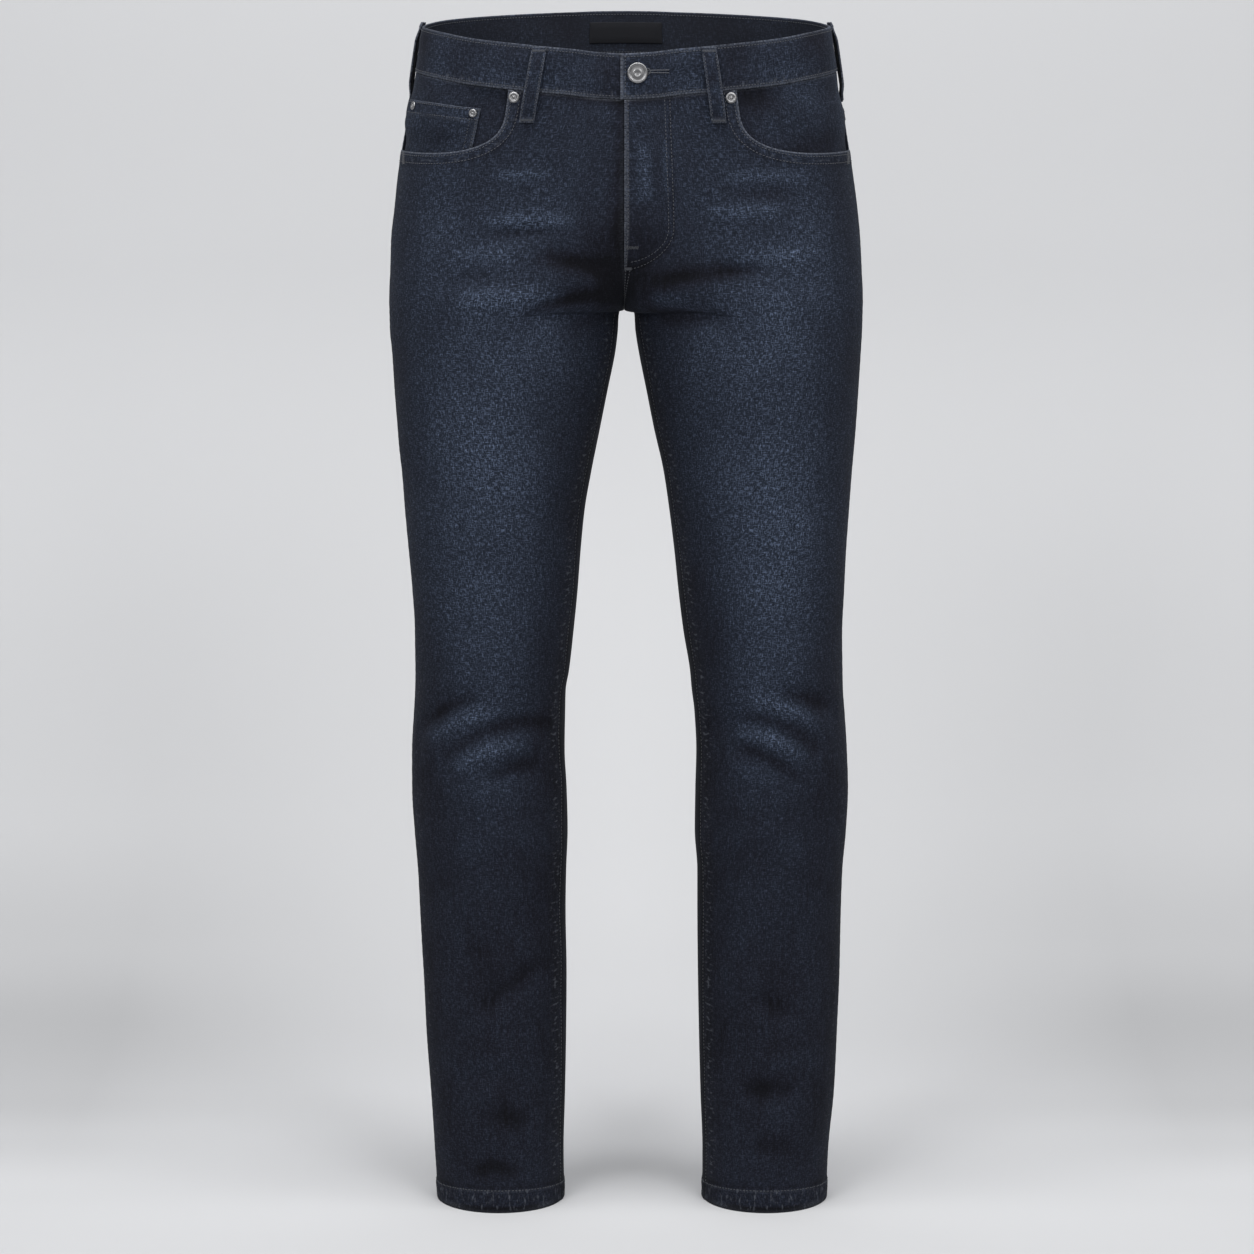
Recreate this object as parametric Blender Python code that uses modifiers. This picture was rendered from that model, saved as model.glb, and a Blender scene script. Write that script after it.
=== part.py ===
"""Slim five-pocket jeans, filled out with no wearer and held at the waist.

Units are metres. Z is up, the front faces -Y and the wearer's right leg is at -X.
Heights are measured up from the hems, and the origin is in the middle of the waist.
"""
import math

import bmesh
import bpy
import numpy as np
from mathutils import Matrix, Vector

# Driving sizes
WAIST_HEIGHT = 1.050
CLOTH = 0.0013
SEAM_GAP = 0.0003
LAYER_GAP = 0.0003
CROTCH_HEIGHT = 0.8190
CENTRE_X = -0.0026
SIDE_SEAM_TOP = 1.0288
FRONT_DROP = 0.0245
BACK_RISE = 0.0150
HEM_DIP = 0.0018
HEM_FADE = 0.040
DROP_START = 0.890
FRONT_CURVE = 0.080
BACK_CURVE = 0.105

# Hems
HEM_HEIGHT = 0.0140
HEM_PROUD = 0.0005
HEM_THICK = 0.0026

# Scoop pockets, facings and coin pocket
SCOOP_BOTTOM = 0.9600
SCOOP_WIDTH = {-1: 0.582, 1: 0.597}
SCOOP_POWER = 3.8
FACING_BELOW = 0.0120
FACING_BEYOND = 0.060
FACING_COLUMNS = 10
FACING_SINK_START = 0.60
FACING_SINK_END = 0.93
UNDER_GAP = 0.0014
COIN_TOP = 1.0050
COIN_TOP_TILT = 0.0045
COIN_BOTTOM = 0.9560
COIN_OUTER = 0.042
COIN_INNER = 0.491
COIN_TAPER = 0.028
COIN_THICK = 0.0010
COIN_GAP = 0.0005

# Yoke and back pockets
YOKE_DROP = 0.026
PATCH_TOP = 0.9720
PATCH_DEPTH = 0.1040
PATCH_POINT = 0.0220
PATCH_OUTER = 0.235
PATCH_INNER = 0.800
PATCH_TAPER = 0.028
PATCH_GAP = 0.0005

# Waistband
BAND_HEIGHT = 0.0400
BAND_THICK = 0.0022
BAND_PROUD = 0.0006
BAND_UNDERLAP = 0.200
BAND_OVERLAP = 0.009
BAND_STEP_START = 0.035
BAND_STEP_END = 0.200

# Belt loops
LOOP_WIDTH = 0.0130
LOOP_THICK = 0.0018
LOOP_STAND = 0.0032
LOOP_GAP = 0.0006
LOOP_ARCH = 0.27
LOOP_STATIONS = (0.0, 0.06, 0.14, 0.26, 0.42, 0.58, 0.74, 0.86, 0.94, 1.0)
LOOP_TOP_INSET = 0.0005
LOOP_BELOW_SEAM = 0.0275

# Label
LABEL_WIDTH = 0.0700
LABEL_SHIFT = 0.0018
LABEL_HEIGHT = 0.0190
LABEL_THICK = 0.0008
LABEL_FROM_TOP = 0.0100

# Button and rivets
BUTTON_X = 0.0091
BUTTON_HEIGHT = 1.0275
BUTTON_RADIUS = 0.0090
RIVET_RADIUS = 0.0050
COIN_RIVET_RADIUS = 0.0038
COIN_RIVET_GAP = 0.0004
SEAT_REACH = 0.003

# Grid columns, and the steps of turned pieces
FRONT_COLUMNS = 12
SCOOP_COLUMNS = 6
BACK_COLUMNS = 11
BAND_UNDER_COLUMNS = 8
BAND_COLUMNS = 57
BAND_ROWS = (SEAM_GAP / 2, 0.010, 0.030, BAND_HEIGHT)
LABEL_COLUMNS = 8
TURN_STEPS = 28

RIGHT, LEFT = -1, 1
FRONT, BACK = -1, 1
LEG_NAME = {RIGHT: "right", LEFT: "left"}

# Pull of a quarter curve's handles, and the limits of the numerical work
ARC = 0.5523
WELD = 0.00001
STEP_U = 0.002
STEP_HEIGHT = 0.0005
HALVINGS = 30

OUTLINE_COLUMNS = ("height", "right_outer", "right_inner", "left_inner", "left_outer")
OUTLINE_ROWS = (
    (0.000, -0.1752, -0.0587, 0.0698, 0.1844),
    (0.014, -0.1756, -0.0588, 0.0702, 0.1846),
    (0.043, -0.1772, -0.0591, 0.0702, 0.1856),
    (0.100, -0.1806, -0.0576, 0.0682, 0.1907),
    (0.156, -0.1843, -0.0565, 0.0667, 0.1931),
    (0.212, -0.1867, -0.0560, 0.0656, 0.1950),
    (0.268, -0.1895, -0.0568, 0.0650, 0.1959),
    (0.306, -0.1911, -0.0562, 0.0649, 0.1970),
    (0.343, -0.1940, -0.0548, 0.0625, 0.2000),
    (0.380, -0.1960, -0.0556, 0.0629, 0.2015),
    (0.417, -0.1958, -0.0574, 0.0637, 0.2003),
    (0.454, -0.1937, -0.0568, 0.0618, 0.1978),
    (0.472, -0.1926, -0.0563, 0.0595, 0.1963),
    (0.491, -0.1921, -0.0531, 0.0577, 0.1957),
    (0.527, -0.1922, -0.0490, 0.0517, 0.1950),
    (0.564, -0.1943, -0.0453, 0.0471, 0.1965),
    (0.600, -0.1972, -0.0425, 0.0434, 0.1981),
    (0.637, -0.2005, -0.0388, 0.0388, 0.2005),
    (0.673, -0.2029, -0.0325, 0.0334, 0.2029),
    (0.709, -0.2063, -0.0252, 0.0252, 0.2058),
    (0.745, -0.2091, -0.0180, 0.0180, 0.2082),
    (0.781, -0.2111, -0.0108, 0.0108, 0.2102),
    (0.799, -0.2127, -0.0087, 0.0080, 0.2110),
    (0.808, -0.2129, -0.0080, 0.0072, 0.2112),
    (0.815, -0.2131, -0.0068, 0.0062, 0.2113),
    (0.819, -0.2132, -0.0028, -0.0024, 0.2114),
    (0.826, -0.2134, -0.0026, -0.0026, 0.2116),
    (0.853, -0.2123, -0.0026, -0.0026, 0.2105),
    (0.880, -0.2112, -0.0026, -0.0026, 0.2090),
    (0.906, -0.2083, -0.0026, -0.0026, 0.2065),
    (0.933, -0.2054, -0.0026, -0.0026, 0.2028),
    (0.960, -0.2012, -0.0026, -0.0026, 0.1985),
    (0.977, -0.1980, -0.0026, -0.0026, 0.1957),
    (0.995, -0.1950, -0.0026, -0.0026, 0.1929),
    (1.012, -0.1908, -0.0026, -0.0026, 0.1884),
    (1.029, -0.1876, -0.0026, -0.0026, 0.1864),
    (1.068, -0.1813, -0.0026, -0.0026, 0.1802),
    (1.095, -0.1780, -0.0026, -0.0026, 0.1765),
)

PROFILE_COLUMNS = (
    "height", "front", "back", "outseam", "inseam",
    "front_share", "back_share", "front_centre", "back_centre",
)
PROFILE_ROWS = (
    (0.000, -0.0600, 0.0520, 0.0020, 0.0000, 0.50, 0.50, 0.0, 0.0),
    (0.100, -0.0590, 0.0560, 0.0020, 0.0000, 0.50, 0.50, 0.0, 0.0),
    (0.250, -0.0580, 0.0670, 0.0030, 0.0020, 0.50, 0.50, 0.0, 0.0),
    (0.350, -0.0610, 0.0700, 0.0030, 0.0040, 0.50, 0.50, 0.0, 0.0),
    (0.440, -0.0660, 0.0640, 0.0020, 0.0040, 0.50, 0.50, 0.0, 0.0),
    (0.510, -0.0720, 0.0610, 0.0000, 0.0020, 0.50, 0.50, 0.0, 0.0),
    (0.600, -0.0790, 0.0700, 0.0000, 0.0020, 0.50, 0.50, 0.0, 0.0),
    (0.700, -0.0860, 0.0830, 0.0010, 0.0060, 0.50, 0.52, 0.0, 0.0),
    (0.780, -0.0900, 0.0960, 0.0030, 0.0100, 0.50, 0.54, 0.0, 0.0),
    (0.819, -0.0905, 0.1035, 0.0040, 0.0120, 0.50, 0.54, 0.0, 0.0),
    (0.860, -0.0900, 0.1110, 0.0050, 0.0120, 0.47, 0.52, 0.006, 0.016),
    (0.900, -0.0885, 0.1130, 0.0050, 0.0120, 0.44, 0.49, 0.002, 0.012),
    (0.950, -0.0865, 0.1070, 0.0040, 0.0120, 0.40, 0.46, -0.0010, 0.005),
    (1.000, -0.0845, 0.0970, 0.0020, 0.0120, 0.36, 0.42, -0.0015, 0.001),
    (1.030, -0.0835, 0.0915, 0.0010, 0.0120, 0.34, 0.38, -0.0015, -0.0010),
    (1.068, -0.0825, 0.0885, 0.0000, 0.0120, 0.33, 0.34, -0.0015, -0.0015),
    (1.095, -0.0820, 0.0880, 0.0000, 0.0120, 0.33, 0.34, -0.0015, -0.0015),
)

# How the waistband seam falls to the front and rises to the back, from the outseam inwards
WAIST_COLUMNS = ("u", "front_fall", "back_climb")
WAIST_ROWS = (
    (0.00, 0.000, 0.000),
    (0.12, 0.080, 0.190),
    (0.27, 0.235, 0.430),
    (0.44, 0.475, 0.640),
    (0.60, 0.650, 0.800),
    (0.75, 0.810, 0.910),
    (0.88, 0.930, 0.975),
    (1.00, 1.000, 1.000),
)

# The largest folds. Each runs from start over middle to end on one face of one leg,
# x across the front view and z up from the hems. A depth below zero is a trough.
FOLD_COLUMNS = (
    "side", "face", "start_x", "start_z", "middle_x", "middle_z", "end_x", "end_z",
    "width", "depth",
)
FOLD_ROWS = (
    (RIGHT, FRONT, -0.190, 0.440, -0.165, 0.462, -0.131, 0.477, 0.012, -0.0032),
    (RIGHT, FRONT, -0.170, 0.412, -0.130, 0.449, -0.070, 0.448, 0.013, -0.0042),
    (RIGHT, FRONT, -0.185, 0.425, -0.140, 0.430, -0.095, 0.433, 0.014, 0.0026),
    (RIGHT, FRONT, -0.126, 0.396, -0.105, 0.409, -0.076, 0.414, 0.012, -0.0028),
    (RIGHT, FRONT, -0.136, 0.184, -0.108, 0.209, -0.070, 0.230, 0.013, -0.0030),
    (RIGHT, FRONT, -0.156, 0.120, -0.122, 0.140, -0.082, 0.119, 0.012, -0.0024),
    (RIGHT, FRONT, -0.078, 0.827, -0.046, 0.826, -0.014, 0.830, 0.012, -0.0036),
    (RIGHT, FRONT, -0.150, 0.831, -0.100, 0.832, -0.055, 0.838, 0.014, 0.0022),
    (RIGHT, FRONT, -0.123, 0.889, -0.093, 0.890, -0.064, 0.890, 0.013, -0.0020),
    (LEFT, FRONT, 0.136, 0.480, 0.162, 0.474, 0.190, 0.458, 0.012, -0.0032),
    (LEFT, FRONT, 0.072, 0.444, 0.122, 0.461, 0.177, 0.420, 0.013, -0.0042),
    (LEFT, FRONT, 0.095, 0.440, 0.135, 0.440, 0.165, 0.418, 0.012, 0.0024),
    (LEFT, FRONT, 0.088, 0.426, 0.120, 0.425, 0.156, 0.397, 0.011, -0.0028),
    (LEFT, FRONT, 0.114, 0.203, 0.131, 0.193, 0.150, 0.178, 0.013, -0.0024),
    (LEFT, FRONT, 0.104, 0.106, 0.128, 0.117, 0.152, 0.107, 0.013, -0.0022),
    (LEFT, FRONT, 0.012, 0.829, 0.040, 0.822, 0.074, 0.824, 0.012, -0.0032),
    (LEFT, FRONT, 0.080, 0.856, 0.104, 0.857, 0.130, 0.859, 0.013, -0.0020),
    (RIGHT, BACK, -0.175, 0.470, -0.125, 0.455, -0.075, 0.472, 0.013, -0.0040),
    (RIGHT, BACK, -0.180, 0.430, -0.130, 0.418, -0.080, 0.424, 0.013, -0.0036),
    (RIGHT, BACK, -0.165, 0.805, -0.110, 0.786, -0.055, 0.790, 0.014, -0.0034),
    (LEFT, BACK, 0.175, 0.466, 0.128, 0.452, 0.080, 0.470, 0.013, -0.0040),
    (LEFT, BACK, 0.182, 0.426, 0.132, 0.414, 0.084, 0.422, 0.013, -0.0036),
    (LEFT, BACK, 0.160, 0.801, 0.108, 0.784, 0.055, 0.790, 0.014, -0.0034),
)
FOLD_POINTS = 9

# Rivets: x across the front view, height up from the hems, and whether each is on the coin pocket
RIVETS = (
    ("rivet_right", RIGHT, -0.0985, 1.0065, False),
    ("rivet_left", LEFT, 0.0906, 1.0060, False),
    ("coin_rivet_inner", RIGHT, -0.1350, 0.9928, True),
    ("coin_rivet_outer", RIGHT, -0.1872, 0.9985, True),
)

# Turned profiles from the axis at the base round to the axis on top, as shares of the radius
# and heights
BUTTON_PROFILE = (
    (0.00, 0.0), (0.86, 0.0), (1.00, 0.0008), (1.00, 0.0018), (0.93, 0.0025), (0.80, 0.0024),
    (0.68, 0.0019), (0.42, 0.0021), (0.34, 0.0024), (0.22, 0.0019), (0.00, 0.0017),
)
RIVET_PROFILE = (
    (0.00, 0.0), (0.94, 0.0), (1.00, 0.0005), (0.90, 0.0012), (0.70, 0.0014),
    (0.50, 0.0011), (0.44, 0.0006), (0.28, 0.0006), (0.20, 0.0013), (0.00, 0.0016),
)

# Belt loops: leg and face that each lies on, with x at its top and at its lower end
BELT_LOOPS = (
    ("loop_front_right", RIGHT, FRONT, -0.0757, -0.0874),
    ("loop_front_left", LEFT, FRONT, 0.0708, 0.0801),
    ("loop_side_right", RIGHT, BACK, -0.1795, -0.1905),
    ("loop_side_left", LEFT, BACK, 0.1784, 0.1895),
    ("loop_back", RIGHT, BACK, -0.0026, -0.0026),
)

# Base heights of the rows of cells: the legs, evenly round the crotch curve, then the hips
CROTCH_TURNS = (18.0, 36.0, 54.0, 72.0, 90.0)
SCOOP_CORNER = 0.9735
YOKE_SEAM = 0.9855
LEG_ROWS = (
    0.0, HEM_HEIGHT, 0.040, 0.070, 0.095, 0.118, 0.141, 0.165, 0.187, 0.210, 0.235, 0.270,
    0.310, 0.350, 0.385, 0.400, 0.415, 0.430, 0.445, 0.460, 0.475, 0.495, 0.525, 0.565,
    0.610, 0.660, 0.710, 0.755, 0.785, 0.803, 0.815, CROTCH_HEIGHT,
    *(CROTCH_HEIGHT + FRONT_CURVE * (1 - math.cos(math.radians(turn))) for turn in CROTCH_TURNS),
    0.930,
)
UPPER_ROWS = (SCOOP_CORNER, YOKE_SEAM, 0.9990, 1.0135, SIDE_SEAM_TOP)
FACING_ROWS = (SCOOP_BOTTOM - FACING_BELOW, SCOOP_BOTTOM) + UPPER_ROWS


def table(columns, rows):
    """Columns of a table by name, with the slopes that a smooth curve through them needs."""
    data = np.array(rows, dtype=float)
    result = {"key": data[:, 0]}
    for index, name in enumerate(columns):
        result[name] = data[:, index]
    step = np.diff(result["key"])
    for name in columns[1:]:
        rate = np.diff(result[name]) / step
        slope = np.zeros(len(rows))
        slope[0] = rate[0]
        slope[-1] = rate[-1]
        for row in range(1, len(rows) - 1):
            before, after = rate[row - 1], rate[row]
            if before * after > 0:
                slope[row] = 2 * before * after / (before + after)
        result[name + " slope"] = slope
    return result


OUTLINE = table(OUTLINE_COLUMNS, OUTLINE_ROWS)
PROFILE = table(PROFILE_COLUMNS, PROFILE_ROWS)
WAIST = table(WAIST_COLUMNS, WAIST_ROWS)


def along(rows, column, key):
    """Value of a table's column at any value of its first column, without overshoot."""
    keys, values, slopes = rows["key"], rows[column], rows[column + " slope"]
    below = np.clip(np.searchsorted(keys, key) - 1, 0, len(keys) - 2)
    width = keys[below + 1] - keys[below]
    t = np.clip((key - keys[below]) / width, 0.0, 1.0)
    start = (1 + 2 * t) * (1 - t) ** 2 * values[below]
    end = t * t * (3 - 2 * t) * values[below + 1]
    turn = t * (1 - t) ** 2 * slopes[below] - t * t * (1 - t) * slopes[below + 1]
    return start + end + turn * width


def smooth(value):
    """Step from 0 to 1 with a soft start and end."""
    t = np.clip(value, 0.0, 1.0)
    return t * t * (3 - 2 * t)


def quarter_length(a, b):
    """Length of a quarter of an ellipse."""
    spread = 3 * (a + b) - np.sqrt((3 * a + b) * (a + 3 * b))
    return math.pi / 4 * spread


def section(side, face, height):
    """Points and lengths that shape one face of one leg at a height."""
    name = LEG_NAME[side]
    outer = along(OUTLINE, name + "_outer", height)
    curve = FRONT_CURVE if face == FRONT else BACK_CURVE
    above = np.clip((height - CROTCH_HEIGHT) / curve, 0.0, 1.0)
    risen = np.sqrt(1 - (1 - above) ** 2)
    inner = np.where(height > CROTCH_HEIGHT, CENTRE_X, along(OUTLINE, name + "_inner", height))
    depth_name = "front" if face == FRONT else "back"
    peak_y = along(PROFILE, depth_name, height)
    start_y = along(PROFILE, "outseam", height)
    low_y = along(PROFILE, "inseam", np.minimum(height, CROTCH_HEIGHT))
    centre_in = along(PROFILE, depth_name + "_centre", height)
    centre_y = peak_y - face * centre_in
    end_y = low_y + (centre_y - low_y) * risen
    share = along(PROFILE, depth_name + "_share", height)
    peak_x = inner + share * (outer - inner)
    sideways = smooth(above)
    first = quarter_length(np.abs(outer - peak_x), np.abs(peak_y - start_y))
    second = quarter_length(np.abs(inner - peak_x), np.abs(end_y - peak_y))
    return outer, start_y, peak_x, peak_y, inner, end_y, sideways, first, second


def surface(side, face, u, height):
    """Points of the bare form: u runs from 0 at the outseam to 1 at the inner edge."""
    outer, start_y, peak_x, peak_y, inner, end_y, sideways, first, second = section(side, face, height)
    change = first / (first + second)
    angle = np.clip(u / change, 0.0, 1.0) * math.pi / 2
    outer_x = peak_x + (outer - peak_x) * np.cos(angle)
    outer_y = start_y + (peak_y - start_y) * np.sin(angle)
    t = np.clip((u - change) / (1 - change), 0.0, 1.0)
    one_x = peak_x + ARC * (inner - peak_x)
    two_x = inner - ARC * sideways * (inner - peak_x)
    two_y = end_y - ARC * (end_y - peak_y) * (1 - sideways)
    weights = ((1 - t) ** 3, 3 * t * (1 - t) ** 2, 3 * t * t * (1 - t), t ** 3)
    inner_x = weights[0] * peak_x + weights[1] * one_x + weights[2] * two_x + weights[3] * inner
    inner_y = (weights[0] + weights[1]) * peak_y + weights[2] * two_y + weights[3] * end_y
    on_outer = u < change
    x = np.where(on_outer, outer_x, inner_x)
    y = np.where(on_outer, outer_y, inner_y)
    return np.stack([x, y, height + 0 * x], axis=-1)


def arc_length(side, face, u, height):
    """Signed distance round the leg from the outseam, above zero on the front."""
    lengths = section(side, face, height)[-2:]
    return -face * u * (lengths[0] + lengths[1])


def cloth_rate(side, face, u, height):
    """Distance round the form that a whole unit of u would cover at the pace it has at u."""
    start = np.maximum(u - STEP_U, 0.0)
    end = np.minimum(u + STEP_U, 1.0)
    run = surface(side, face, end, height) - surface(side, face, start, height)
    return np.linalg.norm(run, axis=-1) / (end - start)


def normals(side, face, u, height):
    """Outward directions of the bare form."""
    across = (surface(side, face, np.minimum(u + STEP_U, 1.0), height)
              - surface(side, face, np.maximum(u - STEP_U, 0.0), height))
    upward = (surface(side, face, u, height + STEP_HEIGHT)
              - surface(side, face, u, height - STEP_HEIGHT))
    direction = np.cross(across, upward) * (side * face)
    return direction / np.linalg.norm(direction, axis=-1, keepdims=True)


def find_u(side, face, x, height):
    """The u of the point of a face that has a given x, by halving."""
    low = np.zeros(np.broadcast(x, height).shape)
    high = low + 1.0
    for _ in range(HALVINGS):
        middle = (low + high) / 2
        found = surface(side, face, middle, height + 0 * middle)[..., 0]
        outside = (found - x) * side > 0
        low = np.where(outside, middle, low)
        high = np.where(outside, high, middle)
    return (low + high) / 2


def fold_paths():
    """Each fold as points along its route, in distance round the leg and height."""
    paths = []
    t = np.linspace(0.0, 1.0, FOLD_POINTS)
    for row in FOLD_ROWS:
        fold = dict(zip(FOLD_COLUMNS, row))
        x = ((1 - t) ** 2 * fold["start_x"] + 2 * t * (1 - t) * fold["middle_x"]
             + t * t * fold["end_x"])
        z = ((1 - t) ** 2 * fold["start_z"] + 2 * t * (1 - t) * fold["middle_z"]
             + t * t * fold["end_z"])
        u = find_u(fold["side"], fold["face"], x, z)
        fold["round"] = arc_length(fold["side"], fold["face"], u, z)
        fold["up"] = z
        paths.append(fold)
    return paths


FOLDS = fold_paths()


def fold_height(side, face, u, height):
    """How far the folds lift or sink the cloth."""
    distance = arc_length(side, face, u, height)
    total = np.zeros(distance.shape)
    for fold in FOLDS:
        if fold["side"] != side:
            continue
        nearest = np.full(distance.shape, 1e3)
        place = np.zeros(distance.shape)
        for index in range(FOLD_POINTS - 1):
            a = np.array([fold["round"][index], fold["up"][index]])
            b = np.array([fold["round"][index + 1], fold["up"][index + 1]])
            run = b - a
            t = ((distance - a[0]) * run[0] + (height - a[1]) * run[1]) / (run @ run)
            t = np.clip(t, 0.0, 1.0)
            gap = np.hypot(distance - a[0] - t * run[0], height - a[1] - t * run[1])
            closer = gap < nearest
            nearest = np.where(closer, gap, nearest)
            place = np.where(closer, (index + t) / (FOLD_POINTS - 1), place)
        fade = np.sqrt(np.clip(4 * place * (1 - place), 0.0, 1.0))
        total += fold["depth"] * fade * np.exp(-(nearest / fold["width"]) ** 2)
    return total


def place(points):
    """Heights above the hems turned into the part's frame."""
    return points - np.array([0.0, 0.0, WAIST_HEIGHT])


def layer(side, face, u, height, lift):
    """Points of the cloth's form, moved out by lift."""
    lift = np.broadcast_to(lift, u.shape)
    out = fold_height(side, face, u, height) + lift
    direction = normals(side, face, u, height)
    points = surface(side, face, u, height)
    clear = CENTRE_X + side * SEAM_GAP / 2
    points[..., 0] = side * np.maximum(side * points[..., 0], side * clear)
    return place(points + direction * out[..., None])


def principled(name, colour, roughness, metallic=0.0):
    """A plain material."""
    material = bpy.data.materials.new(name)
    material.use_nodes = True
    shader = material.node_tree.nodes["Principled BSDF"]
    shader.inputs["Base Color"].default_value = (*colour, 1.0)
    shader.inputs["Roughness"].default_value = roughness
    shader.inputs["Metallic"].default_value = metallic
    material.diffuse_color = (*colour, 1.0)
    return material


def wall(name, outer, inner, material, collection, cut=None):
    """A closed cloth wall between two grids of points.

    Every cell is split the same way, so that layers that share a grid stay parallel. Cells
    that are true in cut are left out, and the rim follows.
    """
    mesh = bmesh.new()
    outside = [[mesh.verts.new(point) for point in row] for row in outer.tolist()]
    inside = [[mesh.verts.new(point) for point in row] for row in inner.tolist()]
    partner = {}
    for outside_row, inside_row in zip(outside, inside):
        partner.update(zip(outside_row, inside_row))
    for row in range(len(outside) - 1):
        for column in range(len(outside[0]) - 1):
            if cut is not None and cut[row, column]:
                continue
            lower, upper = outside[row], outside[row + 1]
            ring = [lower[column], lower[column + 1], upper[column + 1], upper[column]]
            for corners in (ring[:3], [ring[0], ring[2], ring[3]]):
                mesh.faces.new(corners)
    edges = [edge for edge in mesh.edges if edge.is_boundary]
    for face in list(mesh.faces):
        mesh.faces.new([partner[corner] for corner in reversed(face.verts)])
    for edge in edges:
        first, second = edge.verts
        mesh.faces.new((second, first, partner[first]))
        mesh.faces.new((second, partner[first], partner[second]))
    bmesh.ops.delete(mesh, geom=[vert for vert in mesh.verts if not vert.link_faces])
    bmesh.ops.remove_doubles(mesh, verts=mesh.verts, dist=WELD)
    bmesh.ops.recalc_face_normals(mesh, faces=mesh.faces)
    data = bpy.data.meshes.new(name)
    mesh.to_mesh(data)
    mesh.free()
    item = bpy.data.objects.new(name, data)
    item.data.materials.append(material)
    collection.objects.link(item)
    return item


def seam_height(face, u):
    """Height of the waistband seam at u."""
    if face == FRONT:
        return SIDE_SEAM_TOP - FRONT_DROP * along(WAIST, "front_fall", u)
    return SIDE_SEAM_TOP + BACK_RISE * along(WAIST, "back_climb", u)


def row_height(face, u, base):
    """True height at u of the row that has a base height at the outseam."""
    weight = smooth((base - DROP_START) / (SIDE_SEAM_TOP - DROP_START))
    height = base + weight * (seam_height(face, u) - SIDE_SEAM_TOP)
    low_down = 1 - smooth(base / HEM_FADE)
    height = height + face * HEM_DIP * low_down * np.sin(math.pi * u)
    if face == BACK:
        low = np.interp(base, (DROP_START, YOKE_SEAM, SIDE_SEAM_TOP), (0.0, 1.0, 0.0))
        height = height - YOKE_DROP * low * u
    return height


def scoop_reach(side, base):
    """u of the scoop's edge at a base height."""
    fall = np.clip((SIDE_SEAM_TOP - base) / (SIDE_SEAM_TOP - SCOOP_BOTTOM), 0.0, 1.0)
    return SCOOP_WIDTH[side] * (1 - fall ** SCOOP_POWER) ** (1 / SCOOP_POWER)


def scoop_base(side, u):
    """Base height of the scoop's edge at u."""
    reach = np.clip(u / SCOOP_WIDTH[side], 0.0, 1.0)
    fall = (1 - reach ** SCOOP_POWER) ** (1 / SCOOP_POWER)
    return SIDE_SEAM_TOP - (SIDE_SEAM_TOP - SCOOP_BOTTOM) * fall


def inset_u(side, face, u, height, start, end):
    """Columns drawn in from a panel's seams by half a gap."""
    lengths = section(side, face, height)[-2:]
    half = SEAM_GAP / 2 / (lengths[0] + lengths[1])
    room = u[:, -1:] - u[:, :1]
    share = (u - u[:, :1]) / room
    return u + half * (start * (1 - share) - end * share)


def panel(name, side, face, base, u, material, collection, gaps, cut=None):
    """A front, back or yoke panel as a wall, drawn in by its gaps at its lower and top edge."""
    height = row_height(face, u, base)
    height[0] += gaps[0]
    height[-1] -= gaps[1]
    u = inset_u(side, face, u, height, 1.0, 1.0)
    lift = np.zeros(u.shape)
    thick = np.full(u.shape, CLOTH)
    if gaps[0] == 0.0:
        lift[:2] = HEM_PROUD
        thick[:2] = HEM_THICK
    outer = layer(side, face, u, height, lift)
    inner = layer(side, face, u, height, lift - thick)
    return wall(name, outer, inner, material, collection, cut)


def front_panel(side, material, collection):
    """A front panel. Its row at the scoop's corner bends down along the scoop's edge."""
    rows = LEG_ROWS + UPPER_ROWS
    base = np.array(rows)[:, None]
    corner = np.where(base < SCOOP_CORNER, scoop_reach(side, SCOOP_CORNER), scoop_reach(side, base))
    left = np.linspace(0.0, 1.0, SCOOP_COLUMNS + 1)[None, :] * corner
    share = np.linspace(0.0, 1.0, FRONT_COLUMNS - SCOOP_COLUMNS + 1)[None, 1:]
    u = np.concatenate([left, corner + (1 - corner) * share], axis=1)
    base = base + 0 * u
    edge_row = rows.index(SCOOP_CORNER)
    base[edge_row, :SCOOP_COLUMNS] = scoop_base(side, u[edge_row, :SCOOP_COLUMNS])
    cut = np.zeros((len(rows) - 1, FRONT_COLUMNS), dtype=bool)
    cut[edge_row:, :SCOOP_COLUMNS] = True
    gaps = (0.0, SEAM_GAP / 2)
    return panel("front_" + LEG_NAME[side], side, FRONT, base, u, material, collection, gaps, cut)


def back_panel(name, side, rows, gaps, material, collection):
    """A back panel or a yoke, on the same columns."""
    u = np.linspace(0.0, 1.0, BACK_COLUMNS + 1)[None, :]
    base = np.array(rows)[:, None] + 0 * u
    return panel(name, side, BACK, base, u + 0 * base, material, collection, gaps)


def facing_depth(side, u, base):
    """How far a facing lies under the form: flush by the seams and deep under the panel."""
    deep = SIDE_SEAM_TOP - SCOOP_BOTTOM
    fall = np.clip((SIDE_SEAM_TOP - base) / deep, 0.0, 2.0)
    reach = u / SCOOP_WIDTH[side]
    ring = (reach ** SCOOP_POWER + fall ** SCOOP_POWER) ** (1 / SCOOP_POWER)
    under = smooth((ring - FACING_SINK_START) / (FACING_SINK_END - FACING_SINK_START))
    full = CLOTH + UNDER_GAP
    if side == RIGHT:
        full += COIN_THICK + COIN_GAP
    return under * full


def lines_between(lines, start, end):
    """Grid lines of the piece below that fall between two edges, and the edges."""
    inside = [line for line in lines if min(start, end) < line < max(start, end)]
    return [start] + sorted(inside, reverse=start > end) + [end]


def facing_lines(side):
    """The facing's columns, as u."""
    return list(np.linspace(0.0, SCOOP_WIDTH[side] + FACING_BEYOND, FACING_COLUMNS + 1))


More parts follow.
